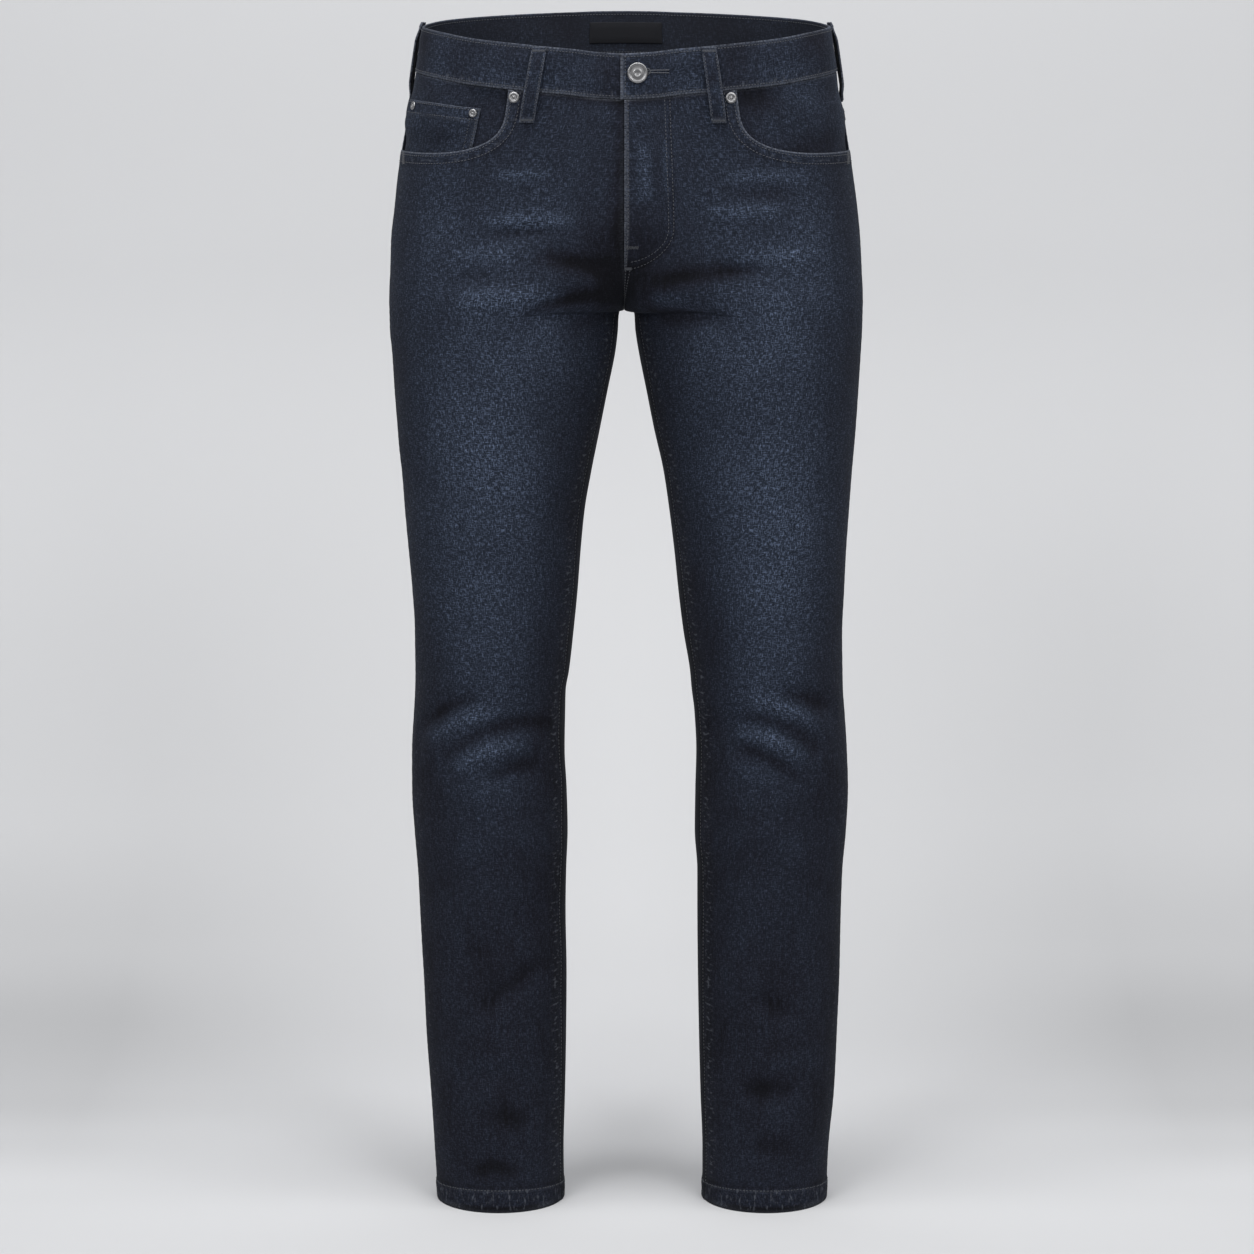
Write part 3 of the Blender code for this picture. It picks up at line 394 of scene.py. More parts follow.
# Belt loops: leg and face that each lies on, with x at its top and at its lower end
BELT_LOOPS = (
    ("loop_front_right", RIGHT, FRONT, -0.0757, -0.0874),
    ("loop_front_left", LEFT, FRONT, 0.0708, 0.0801),
    ("loop_side_right", RIGHT, BACK, -0.1795, -0.1905),
    ("loop_side_left", LEFT, BACK, 0.1784, 0.1895),
    ("loop_back", RIGHT, BACK, -0.0026, -0.0026),
)


def table(columns, rows):
    """Columns of a table by name, with the slopes that a smooth curve through them needs."""
    data = np.array(rows, dtype=float)
    result = {"key": data[:, 0]}
    for index, name in enumerate(columns):
        result[name] = data[:, index]
    step = np.diff(result["key"])
    for name in columns[1:]:
        rate = np.diff(result[name]) / step
        slope = np.zeros(len(rows))
        slope[0] = rate[0]
        slope[-1] = rate[-1]
        for row in range(1, len(rows) - 1):
            before, after = rate[row - 1], rate[row]
            if before * after > 0:
                slope[row] = 2 * before * after / (before + after)
        result[name + " slope"] = slope
    return result


OUTLINE = table(OUTLINE_COLUMNS, OUTLINE_ROWS)
PROFILE = table(PROFILE_COLUMNS, PROFILE_ROWS)
WAIST = table(WAIST_COLUMNS, WAIST_ROWS)


def along(rows, column, key):
    """Value of a table's column at any value of its first column, without overshoot."""
    keys, values, slopes = rows["key"], rows[column], rows[column + " slope"]
    below = np.clip(np.searchsorted(keys, key) - 1, 0, len(keys) - 2)
    width = keys[below + 1] - keys[below]
    t = np.clip((key - keys[below]) / width, 0.0, 1.0)
    start = (1 + 2 * t) * (1 - t) ** 2 * values[below]
    end = t * t * (3 - 2 * t) * values[below + 1]
    turn = t * (1 - t) ** 2 * slopes[below] - t * t * (1 - t) * slopes[below + 1]
    return start + end + turn * width


def smooth(value):
    """Step from 0 to 1 with a soft start and end."""
    t = np.clip(value, 0.0, 1.0)
    return t * t * (3 - 2 * t)


def bell(gap, width):
    """A soft hump: 1 where the gap is 0, and gone a few widths away."""
    return np.exp(-(gap / width) ** 2)


def quarter_length(a, b):
    """Length of a quarter of an ellipse."""
    spread = 3 * (a + b) - np.sqrt((3 * a + b) * (a + 3 * b))
    return math.pi / 4 * spread


def section(side, face, height):
    """Points and lengths that shape one face of one leg at a height."""
    name = LEG_NAME[side]
    outer = along(OUTLINE, name + "_outer", height)
    curve = FRONT_CURVE if face == FRONT else BACK_CURVE
    above = np.clip((height - CROTCH_HEIGHT) / curve, 0.0, 1.0)
    risen = np.sqrt(1 - (1 - above) ** 2)
    gap = along(OUTLINE, name + "_inner", np.minimum(height, GAP_TOP))
    inner = np.where(height > CROTCH_HEIGHT, CENTRE_X, gap)
    eased = gap + (CENTRE_X - gap) * smooth((height - CROTCH_HEIGHT) / GAP_EASE)
    depth_name = "front" if face == FRONT else "back"
    peak_y = along(PROFILE, depth_name, height)
    start_y = along(PROFILE, "outseam", height)
    low_y = along(PROFILE, "inseam", np.minimum(height, CROTCH_HEIGHT))
    centre_in = along(PROFILE, depth_name + "_centre", height)
    centre_y = peak_y - face * centre_in
    end_y = low_y + (centre_y - low_y) * risen
    share = along(PROFILE, depth_name + "_share", height)
    peak_x = eased + share * (outer - eased)
    sideways = smooth(above)
    first = quarter_length(np.abs(outer - peak_x), np.abs(peak_y - start_y))
    second = quarter_length(np.abs(eased - peak_x), np.abs(end_y - peak_y))
    return outer, start_y, peak_x, peak_y, inner, end_y, sideways, first, second


def surface(side, face, u, height):
    """Points of the bare form: u runs from 0 at the outseam to 1 at the inner edge."""
    outer, start_y, peak_x, peak_y, inner, end_y, sideways, first, second = section(side, face, height)
    change = first / (first + second)
    angle = np.clip(u / change, 0.0, 1.0) * math.pi / 2
    outer_x = peak_x + (outer - peak_x) * np.cos(angle)
    outer_y = start_y + (peak_y - start_y) * np.sin(angle)
    t = np.clip((u - change) / (1 - change), 0.0, 1.0)
    one_x = peak_x + ARC * (inner - peak_x)
    two_x = inner - ARC * sideways * (inner - peak_x)
    two_y = end_y - ARC * (end_y - peak_y) * (1 - sideways)
    weights = ((1 - t) ** 3, 3 * t * (1 - t) ** 2, 3 * t * t * (1 - t), t ** 3)
    inner_x = weights[0] * peak_x + weights[1] * one_x + weights[2] * two_x + weights[3] * inner
    inner_y = (weights[0] + weights[1]) * peak_y + weights[2] * two_y + weights[3] * end_y
    on_outer = u < change
    x = np.where(on_outer, outer_x, inner_x)
    y = np.where(on_outer, outer_y, inner_y)
    return np.stack([x, y, height + 0 * x], axis=-1)


def arc_length(side, face, u, height):
    """Signed distance round the leg from the outseam, above zero on the front."""
    lengths = section(side, face, height)[-2:]
    return -face * u * (lengths[0] + lengths[1])


def normals(side, face, u, height):
    """Outward directions of the bare form."""
    across = (surface(side, face, np.minimum(u + STEP_U, 1.0), height)
              - surface(side, face, np.maximum(u - STEP_U, 0.0), height))
    upward = (surface(side, face, u, height + STEP_HEIGHT)
              - surface(side, face, u, height - STEP_HEIGHT))
    direction = np.cross(across, upward) * (side * face)
    return direction / np.linalg.norm(direction, axis=-1, keepdims=True)


def find_u(side, face, x, height):
    """The u of the point of a face that has a given x, by halving."""
    low = np.zeros(np.broadcast(x, height).shape)
    high = low + 1.0
    for _ in range(HALVINGS):
        middle = (low + high) / 2
        found = surface(side, face, middle, height + 0 * middle)[..., 0]
        outside = (found - x) * side > 0
        low = np.where(outside, middle, low)
        high = np.where(outside, high, middle)
    return (low + high) / 2


# Creases that are too fine for the solids. Each runs from start through middle to end,
# x across the front view and z up from the hems. A depth below zero is a trough, and
# worn is how much paler the cloth is worn along a ridge; below zero it is painted shade
# that darkens a trough.
CREASE_COLUMNS = FOLD_COLUMNS + ("worn",)
CREASE_ROWS = (
    (RIGHT, FRONT, -0.1195, 0.9367, -0.0959, 0.9385, -0.0724, 0.9385, 0.007, 0.0006, 0.20),
    (RIGHT, FRONT, -0.1258, 0.8977, -0.0847, 0.9003, -0.0437, 0.8994, 0.006, 0.0011, 0.42),
    (RIGHT, FRONT, -0.1197, 0.8881, -0.0935, 0.8898, -0.0664, 0.8898, 0.006, -0.0008, -0.24),
    (RIGHT, FRONT, -0.1478, 0.8689, -0.1233, 0.8698, -0.0979, 0.8698, 0.007, 0.0007, 0.24),
    (RIGHT, FRONT, -0.0830, 0.8690, -0.0400, 0.8620, -0.0050, 0.8540, 0.009, -0.0018, -0.42),
    (RIGHT, FRONT, -0.1532, 0.8297, -0.1024, 0.8305, -0.0586, 0.8375, 0.009, 0.0009, 0.34),
    (RIGHT, FRONT, -0.0905, 0.8215, -0.0450, 0.8300, -0.0073, 0.8315, 0.009, -0.0014, -0.42),
    (RIGHT, FRONT, -0.1560, 0.8480, -0.1280, 0.8500, -0.1000, 0.8520, 0.006, -0.0006, -0.14),
    (RIGHT, FRONT, -0.0560, 0.8000, -0.0380, 0.8080, -0.0160, 0.8150, 0.007, -0.0010, -0.12),
    (RIGHT, FRONT, -0.0900, 0.8310, -0.0700, 0.8330, -0.0500, 0.8360, 0.0028, 0.0003, 0.35),
    (RIGHT, FRONT, -0.1185, 0.9385, -0.0950, 0.9395, -0.0600, 0.9390, 0.0025, 0.0002, 0.25),
    (RIGHT, FRONT, -0.1185, 0.8975, -0.0850, 0.8965, -0.0500, 0.8970, 0.0028, 0.0003, 0.28),
    (LEFT, FRONT, 0.0837, 0.9367, 0.1221, 0.9376, 0.1605, 0.9367, 0.006, 0.0008, 0.32),
    (LEFT, FRONT, 0.0690, 0.9055, 0.1039, 0.9072, 0.1388, 0.9090, 0.006, 0.0009, 0.34),
    (LEFT, FRONT, 0.0900, 0.9210, 0.1200, 0.9220, 0.1500, 0.9220, 0.006, -0.0006, -0.16),
    (LEFT, FRONT, 0.0857, 0.8654, 0.1277, 0.8672, 0.1696, 0.8724, 0.007, 0.0008, 0.30),
    (LEFT, FRONT, 0.0779, 0.8559, 0.1032, 0.8567, 0.1277, 0.8585, 0.006, -0.0008, -0.22),
    (LEFT, FRONT, 0.0201, 0.8270, 0.0359, 0.8288, 0.0552, 0.8279, 0.007, 0.0010, 0.32),
    (LEFT, FRONT, 0.0205, 0.8440, 0.0558, 0.8517, 0.1188, 0.8580, 0.009, -0.0015, -0.42),
    (LEFT, FRONT, 0.0180, 0.8215, 0.0508, 0.8137, 0.0935, 0.8188, 0.009, -0.0012, -0.30),
    (RIGHT, FRONT, -0.1869, 0.4437, -0.1600, 0.4660, -0.1313, 0.4762, 0.006, -0.0012, -0.28),
    (RIGHT, FRONT, -0.1800, 0.4330, -0.1480, 0.4540, -0.1130, 0.4640, 0.007, 0.0010, 0.34),
    (RIGHT, FRONT, -0.1665, 0.4165, -0.1150, 0.4480, -0.0671, 0.4464, 0.007, -0.0014, -0.36),
    (RIGHT, FRONT, -0.1560, 0.4080, -0.1220, 0.4260, -0.0850, 0.4300, 0.008, 0.0012, 0.36),
    (RIGHT, FRONT, -0.1236, 0.3974, -0.1020, 0.4090, -0.0779, 0.4128, 0.006, -0.0010, -0.26),
    (RIGHT, FRONT, -0.1400, 0.3860, -0.1180, 0.3960, -0.0960, 0.4000, 0.008, 0.0006, 0.16),
    (LEFT, FRONT, 0.1366, 0.4789, 0.1600, 0.4735, 0.1850, 0.4627, 0.006, -0.0012, -0.30),
    (LEFT, FRONT, 0.1080, 0.4700, 0.1400, 0.4660, 0.1760, 0.4440, 0.007, 0.0010, 0.36),
    (LEFT, FRONT, 0.0992, 0.4545, 0.1368, 0.4509, 0.1745, 0.4219, 0.007, -0.0014, -0.36),
    (LEFT, FRONT, 0.0960, 0.4410, 0.1260, 0.4390, 0.1600, 0.4160, 0.008, 0.0012, 0.34),
    (LEFT, FRONT, 0.0966, 0.4274, 0.1240, 0.4210, 0.1532, 0.4001, 0.006, -0.0010, -0.30),
    (LEFT, FRONT, 0.0900, 0.4100, 0.1120, 0.4060, 0.1360, 0.3940, 0.008, 0.0006, 0.14),
    (RIGHT, FRONT, -0.1334, 0.1860, -0.1030, 0.2130, -0.0714, 0.2284, 0.007, -0.0008, -0.16),
    (RIGHT, FRONT, -0.1463, 0.2414, -0.1327, 0.2423, -0.1201, 0.2404, 0.007, -0.0008, -0.12),
    (RIGHT, FRONT, -0.1551, 0.1210, -0.1233, 0.1387, -0.0834, 0.1192, 0.008, 0.0008, 0.10),
    (RIGHT, FRONT, -0.1419, 0.0315, -0.1201, 0.0437, -0.0992, 0.0324, 0.008, -0.0010, -0.24),
    (RIGHT, FRONT, -0.1380, 0.0850, -0.1150, 0.0900, -0.0900, 0.0800, 0.011, -0.0010, -0.20),
    (LEFT, FRONT, 0.1166, 0.2017, 0.1311, 0.1934, 0.1457, 0.1813, 0.008, -0.0008, -0.12),
    (LEFT, FRONT, 0.1305, 0.1359, 0.1513, 0.1415, 0.1722, 0.1368, 0.008, 0.0007, 0.10),
    (LEFT, FRONT, 0.1062, 0.1071, 0.1279, 0.1164, 0.1497, 0.1080, 0.010, -0.0010, -0.24),
    (LEFT, FRONT, 0.1150, 0.0560, 0.1330, 0.0620, 0.1540, 0.0520, 0.010, -0.0010, -0.20),
    (RIGHT, FRONT, -0.0900, 0.3400, -0.1150, 0.3460, -0.1500, 0.3300, 0.010, 0.0007, 0.08),
    (LEFT, FRONT, 0.0950, 0.3420, 0.1250, 0.3480, 0.1600, 0.3300, 0.010, 0.0007, 0.08),
    (RIGHT, BACK, -0.1700, 0.4880, -0.1250, 0.4760, -0.0800, 0.4900, 0.008, 0.0012, 0.20),
    (RIGHT, BACK, -0.1750, 0.4480, -0.1250, 0.4360, -0.0750, 0.4440, 0.008, 0.0014, 0.24),
    (RIGHT, BACK, -0.1650, 0.4040, -0.1300, 0.3960, -0.0900, 0.4020, 0.007, 0.0010, 0.16),
    (RIGHT, BACK, -0.1500, 0.5160, -0.1200, 0.5080, -0.0850, 0.5180, 0.008, -0.0010, -0.08),
    (RIGHT, BACK, -0.1550, 0.8220, -0.1100, 0.8060, -0.0550, 0.8080, 0.008, 0.0010, 0.16),
    (RIGHT, BACK, -0.1350, 0.7640, -0.0950, 0.7560, -0.0500, 0.7640, 0.009, -0.0010, -0.08),
    (RIGHT, BACK, -0.0700, 0.8480, -0.0450, 0.8360, -0.0200, 0.8300, 0.008, -0.0012, -0.10),
    (LEFT, BACK, 0.1720, 0.4840, 0.1280, 0.4720, 0.0840, 0.4880, 0.008, 0.0012, 0.20),
    (LEFT, BACK, 0.1770, 0.4440, 0.1290, 0.4320, 0.0800, 0.4420, 0.008, 0.0014, 0.24),
    (LEFT, BACK, 0.1680, 0.4000, 0.1330, 0.3920, 0.0950, 0.3990, 0.007, 0.0010, 0.16),
    (LEFT, BACK, 0.1540, 0.5120, 0.1230, 0.5050, 0.0880, 0.5150, 0.008, -0.0010, -0.08),
    (LEFT, BACK, 0.1540, 0.8180, 0.1080, 0.8040, 0.0540, 0.8080, 0.008, 0.0010, 0.16),
    (LEFT, BACK, 0.1320, 0.7600, 0.0930, 0.7540, 0.0490, 0.7620, 0.009, -0.0010, -0.08),
    (LEFT, BACK, 0.0680, 0.8460, 0.0440, 0.8350, 0.0190, 0.8300, 0.008, -0.0012, -0.10),
)

# How pale the cloth is worn at each height: the most at the middle of the leg, the least at
# its edges, and where and how wide the worn part is as shares of the leg
FADE_COLUMNS = ("height", "middle", "edge", "centre", "spread")
FRONT_FADE_ROWS = (
    (0.000, 0.30, 0.20, 0.50, 0.38),
    (0.120, 0.27, 0.17, 0.50, 0.36),
    (0.300, 0.30, 0.14, 0.48, 0.32),
    (0.380, 0.42, 0.15, 0.48, 0.30),
    (0.440, 0.60, 0.17, 0.46, 0.28),
    (0.500, 0.68, 0.18, 0.46, 0.26),
    (0.580, 0.86, 0.20, 0.46, 0.28),
    (0.680, 0.86, 0.20, 0.46, 0.30),
    (0.780, 0.78, 0.20, 0.46, 0.32),
    (0.840, 0.70, 0.20, 0.46, 0.34),
    (0.900, 0.62, 0.26, 0.48, 0.36),
    (0.950, 0.52, 0.36, 0.50, 0.45),
    (0.990, 0.46, 0.38, 0.50, 0.60),
    (1.095, 0.46, 0.38, 0.50, 0.60),
)
BACK_FADE_ROWS = (
    (0.000, 0.30, 0.20, 0.50, 0.38),
    (0.300, 0.32, 0.16, 0.50, 0.32),
    (0.440, 0.40, 0.16, 0.50, 0.30),
    (0.600, 0.46, 0.18, 0.50, 0.30),
    (0.780, 0.56, 0.20, 0.50, 0.34),
    (0.880, 0.70, 0.26, 0.50, 0.36),
    (0.960, 0.54, 0.34, 0.50, 0.45),
    (1.095, 0.42, 0.36, 0.50, 0.60),
)
FRONT_FADE = table(FADE_COLUMNS, FRONT_FADE_ROWS)
BACK_FADE = table(FADE_COLUMNS, BACK_FADE_ROWS)


def place(points):
    """Heights above the hems turned into the part's frame."""
    return points - np.array([0.0, 0.0, WAIST_HEIGHT])


def seam_height(face, u):
    """Height of the waistband seam at u."""
    if face == FRONT:
        return SIDE_SEAM_TOP - FRONT_DROP * along(WAIST, "front_fall", u)
    return SIDE_SEAM_TOP + BACK_RISE * along(WAIST, "back_climb", u)


def row_height(face, u, base):
    """True height at u of the row that has a base height at the outseam."""
    weight = smooth((base - DROP_START) / (SIDE_SEAM_TOP - DROP_START))
    height = base + weight * (seam_height(face, u) - SIDE_SEAM_TOP)
    low_down = 1 - smooth(base / HEM_FADE)
    height = height + face * HEM_DIP * low_down * np.sin(math.pi * u)
    if face == BACK:
        low = np.interp(base, (DROP_START, YOKE_SEAM, SIDE_SEAM_TOP), (0.0, 1.0, 0.0))
        height = height - YOKE_DROP * low * u
    return height


def scoop_reach(side, base):
    """u of the scoop's edge at a base height."""
    fall = np.clip((SIDE_SEAM_TOP - base) / (SIDE_SEAM_TOP - SCOOP_BOTTOM), 0.0, 1.0)
    return SCOOP_WIDTH[side] * (1 - fall ** SCOOP_POWER) ** (1 / SCOOP_POWER)


def scoop_base(side, u):
    """Base height of the scoop's edge at u."""
    reach = np.clip(u / SCOOP_WIDTH[side], 0.0, 1.0)
    fall = (1 - reach ** SCOOP_POWER) ** (1 / SCOOP_POWER)
    return SIDE_SEAM_TOP - (SIDE_SEAM_TOP - SCOOP_BOTTOM) * fall


def inset_u(side, face, u, height, start, end):
    """Columns drawn in from a panel's seams by half a gap."""
    lengths = section(side, face, height)[-2:]
    half = SEAM_GAP / 2 / (lengths[0] + lengths[1])
    room = u[:, -1:] - u[:, :1]
    share = (u - u[:, :1]) / room
    return u + half * (start * (1 - share) - end * share)


def facing_depth(side, u, base):
    """How far a facing lies under the form: flush by the seams and deep under the panel."""
    deep = SIDE_SEAM_TOP - SCOOP_BOTTOM
    fall = np.clip((SIDE_SEAM_TOP - base) / deep, 0.0, 2.0)
    reach = u / SCOOP_WIDTH[side]
    ring = (reach ** SCOOP_POWER + fall ** SCOOP_POWER) ** (1 / SCOOP_POWER)
    under = smooth((ring - FACING_SINK_START) / (FACING_SINK_END - FACING_SINK_START))
    full = CLOTH + UNDER_GAP
    if side == RIGHT:
        full += COIN_THICK + COIN_GAP
    return under * full


def round_waist(w, above, lift):
    """Points round the waist: w runs 0 to 4 from the front centre by the right side.

    Each whole number is a seam of the waist: 1 right side, 2 back centre, 3 left side.
    """
    w, above, lift = np.broadcast_arrays(w, above, lift)
    points = np.zeros((*w.shape, 3))
    quarters = (
        (RIGHT, FRONT, (w >= 0) & (w < 1), 1 - w),
        (RIGHT, BACK, (w >= 1) & (w < 2), w - 1),
        (LEFT, BACK, (w >= 2) & (w < 3), 3 - w),
        (LEFT, FRONT, (w >= 3) & (w <= 4), w - 3),
        (LEFT, FRONT, w < 0, 1 + w),
        (RIGHT, FRONT, w > 4, 5 - w),
    )
    for side, face, chosen, u in quarters:
        if not chosen.any():
            continue
        part_u = u[chosen]
        height = seam_height(face, part_u) + above[chosen]
        bare = surface(side, face, part_u, height)
        direction = normals(side, face, part_u, height)
        points[chosen] = place(bare + direction * lift[chosen][:, None])
    return points


def band_sink(w):
    """How far the waistband's under end lies behind its upper end."""
    step = (w - BAND_STEP_START) / (BAND_STEP_END - BAND_STEP_START)
    return (BAND_THICK + LAYER_GAP) * (1 - smooth(step))


def wrapped(side, face, u, height, lift):
    """Points over a form whose u may run past the outseam or past the centre seam."""
    u, height, lift = np.broadcast_arrays(u, height, lift)
    points = np.zeros((*u.shape, 3))
    cases = (
        (side, face, (u >= 0) & (u <= 1), u),
        (side, -face, u < 0, -u),
        (-side, face, u > 1, 2 - u),
    )
    for leg, sheet, chosen, value in cases:
        if chosen.any():
            part_u, part_h = value[chosen], height[chosen]
            out = normals(leg, sheet, part_u, part_h) * lift[chosen][:, None]
            points[chosen] = place(surface(leg, sheet, part_u, part_h) + out)
    return points


def crease_paths(columns, rows, through):
    """Each crease as points in distance round the leg and height."""
    paths = []
    t = np.linspace(0.0, 1.0, FOLD_POINTS)
    for row in rows:
        crease = dict(zip(columns, row))
        lines = []
        for axis in "xz":
            start, middle, end = (crease[part + axis] for part in ("start_", "middle_", "end_"))
            if through:
                middle = 2 * middle - (start + end) / 2
            lines.append((1 - t) ** 2 * start + 2 * t * (1 - t) * middle + t * t * end)
        u = find_u(crease["side"], crease["face"], lines[0], lines[1])
        crease["round"] = arc_length(crease["side"], crease["face"], u, lines[1])
        crease["up"] = lines[1]
        paths.append(crease)
    return paths


FOLDS = crease_paths(FOLD_COLUMNS, FOLD_ROWS, False)
CREASES = crease_paths(CREASE_COLUMNS, CREASE_ROWS, True)


def path_distance(across, up, path_across, path_up):
    """Distance from points to a path in the same plane, and how far along it that is."""
    nearest = np.full(across.shape, 1e3)
    place_along = np.zeros(across.shape)
    count = len(path_across) - 1
    for index in range(count):
        start = np.array([path_across[index], path_up[index]])
        run = np.array([path_across[index + 1], path_up[index + 1]]) - start
        t = ((across - start[0]) * run[0] + (up - start[1]) * run[1]) / (run @ run)
        t = np.clip(t, 0.0, 1.0)
        gap = np.hypot(across - start[0] - t * run[0], up - start[1] - t * run[1])
        closer = gap < nearest
        nearest = np.where(closer, gap, nearest)
        place_along = np.where(closer, (index + t) / count, place_along)
    return nearest, place_along


def crease_fields(side, face, u, height, creases):
    """Lift, and the worn tone and painted trough shade, that creases give to points of the cloth."""
    across = arc_length(side, face, u, height)
    lift = np.zeros(across.shape)
    worn = np.zeros(across.shape)
    for crease in creases:
        if crease["side"] != side:
            continue
        reach = 4 * crease["width"]
        low = (crease["round"].min() - reach, crease["up"].min() - reach)
        high = (crease["round"].max() + reach, crease["up"].max() + reach)
        near = (across > low[0]) & (across < high[0]) & (height > low[1]) & (height < high[1])
        if not near.any():
            continue
        gap, along_path = path_distance(across[near], height[near], crease["round"], crease["up"])
        fade = np.sqrt(np.clip(4 * along_path * (1 - along_path), 0.0, 1.0))
        ridge = fade * bell(gap, crease["width"])
        lift[near] += crease["depth"] * ridge
        # worn above zero is paler worn cloth along a ridge, below zero painted shade along a trough
        worn[near] += crease.get("worn", 0.0) * ridge
    return lift, worn


def fold_height(side, face, u, height):
    """How far the largest folds lift or sink the cloth, as in the solids."""
    return crease_fields(side, face, u, height, FOLDS)[0]


def waves(across, up, seed, length, turns=7):
    """A sum of smooth waves in mixed directions, from about -1 to 1."""
    draw = np.random.default_rng(seed)
    total = np.zeros(np.broadcast(across, up).shape)
    for _ in range(turns):
        angle = draw.uniform(0, math.pi)
        rate = 2 * math.pi / (length * draw.uniform(0.7, 1.6))
        shift = draw.uniform(0, 2 * math.pi)
        total += np.sin(rate * (across * math.cos(angle) + up * math.sin(angle)) + shift)
    return total / math.sqrt(turns)


def panel_length(side, face, height):
    """Width of one face of one leg, along the cloth."""
    lengths = section(side, face, height)[-2:]
    return lengths[0] + lengths[1]


def scoop_edge(side):
    """The scoop pocket's edge as distance round the leg and height."""
    share = np.linspace(0.0, 1.0, SCOOP_EDGE_POINTS)
    turn = share * math.pi / 2
    ring = (np.sin(turn) ** SCOOP_POWER + np.cos(turn) ** SCOOP_POWER) ** (-1 / SCOOP_POWER)
    u = SCOOP_WIDTH[side] * np.sin(turn) * ring
    base = SIDE_SEAM_TOP - (SIDE_SEAM_TOP - SCOOP_BOTTOM) * np.cos(turn) * ring
    height = row_height(FRONT, u, base)
    return u, height


def seam_inset(height):
    """How far in from the inner outline the inseam's sewing stands, seen from the front."""
    return HEM_INSET + (INSEAM_INSET - HEM_INSET) * smooth(height / 0.25)


def cloth_rate(side, face, u, height):
    """Distance round the form that a whole unit of u would cover at the pace it has at u."""
    start = np.maximum(u - STEP_U, 0.0)
    end = np.minimum(u + STEP_U, 1.0)
    run = surface(side, face, end, height) - surface(side, face, start, height)
    return np.linalg.norm(run, axis=-1) / (end - start)


def seam_bands(side, face, u, height):
    """Lift, painted shade and puckering of the doubled cloth along a panel's seams."""
    x = surface(side, face, u, height)[..., 0]
    from_inner = np.abs(x - surface(side, face, 0 * u + 1.0, height)[..., 0])
    from_outer = np.abs(x - surface(side, face, 0 * u, height)[..., 0])
    across = arc_length(side, face, u, height)
    below_crotch = 1 - smooth((height - CROTCH_HEIGHT + 0.02) / 0.02)
    line = seam_inset(height)
    on_band = (1 - smooth((from_inner - line + 0.0005) / 0.0010)) * below_crotch
    groove = bell(from_inner - line, 0.0009) * below_crotch
    pucker = np.sin(2 * math.pi * height / PUCKER_LENGTH + 3 * waves(across, height, 11, 0.05))
    near_inseam = bell(from_inner - line - 0.0042, 0.0034) * below_crotch
    near_outseam = bell(from_outer - 0.004, 0.005)
    lift = INSEAM_RISE * on_band - 0.0003 * groove
    lift = lift + PUCKER_HEIGHT * pucker * (near_inseam + 0.5 * near_outseam)
    # Painted shade: darker over the doubled band, in the groove of its sewing and beside the inseam
    tone = -0.14 * on_band - 0.10 * groove - 0.06 * near_inseam
    return lift, tone, 0.75 * near_inseam + 0.25 * near_outseam


def hem_line(face, u):
    """How far up the hem's sewing stands: it bows less than the hem's own edge at the front."""
    bow = HEM_BOW if face == FRONT else 0.0
    return HEM_LINE + bow * np.sin(math.pi * np.clip(u, 0.0, 1.0)) ** 1.2


def hem_rows(face, u, rows):
    """Base heights of rows, bent near the hem to run along its sewing."""
    below = rows / HEM_HEIGHT
    above = 1 - smooth((rows - HEM_HEIGHT) / (HEM_BEND_TOP - HEM_HEIGHT))
    share = np.where(rows < HEM_HEIGHT, below, above)
    return rows + (hem_line(face, u) - HEM_HEIGHT) * share


def hem_lift(side, face, u, height, base):
    """Lift of the doubled hem, with the slant puckers that its sewing pulls in."""
    across = arc_length(side, face, u, height)
    line = hem_line(face, u)
    on_hem = 1 - smooth((base - line - 0.0006) / 0.0016)
    slant = 2 * math.pi * (across + 0.7 * base) / ROPE_LENGTH
    rope = np.sin(slant + 1.6 * waves(across, base, 23 + side, 0.03))
    near = bell(base - line + 0.004, 0.007)
    groove = 0.0003 * bell(base - line, 0.0010)
    return HEM_PROUD * on_hem + ROPE_HEIGHT * rope * near - groove, on_hem


def cloth_tone(side, face, u, height):
    """How pale the cloth is worn, before its creases."""
    rows = FRONT_FADE if face == FRONT else BACK_FADE
    middle = along(rows, "middle", height)
    edge = along(rows, "edge", height)
    offset = (u - along(rows, "centre", height)) / along(rows, "spread", height)
    tone = edge + (middle - edge) * np.exp(-offset ** 2)
    across = arc_length(side, face, u, height)
    patch = waves(across, height * 0.6, 31 + side, 0.11)
    return tone * (1 + 0.10 * patch)


def dressed(side, face, u, height, base=None):
    """Lift above the bare form, and worn tone with painted shade in crease troughs and along seams, of a leg
    panel's cloth.
    """
    base = height if base is None else base
    lift, _ = crease_fields(side, face, u, height, FOLDS)
    fine, worn = crease_fields(side, face, u, height, CREASES)
    across = arc_length(side, face, u, height)
    soft = waves(across, height, 41 + side, 0.09) * DRAPE_HEIGHT
    edge_hold = np.minimum(u, 1 - u) * panel_length(side, face, height)
    soft = soft * smooth(edge_hold / 0.02) * smooth(base / 0.04)
    hem, on_hem = hem_lift(side, face, u, height, base)
    band, seam_shade, _ = seam_bands(side, face, u, height)
    lift = lift + fine + soft + band + hem
    # Adds the creases' wear, the painted shade of their troughs and the painted shade along the seams
    tone = cloth_tone(side, face, u, height) + worn + seam_shade
    return lift, tone, on_hem


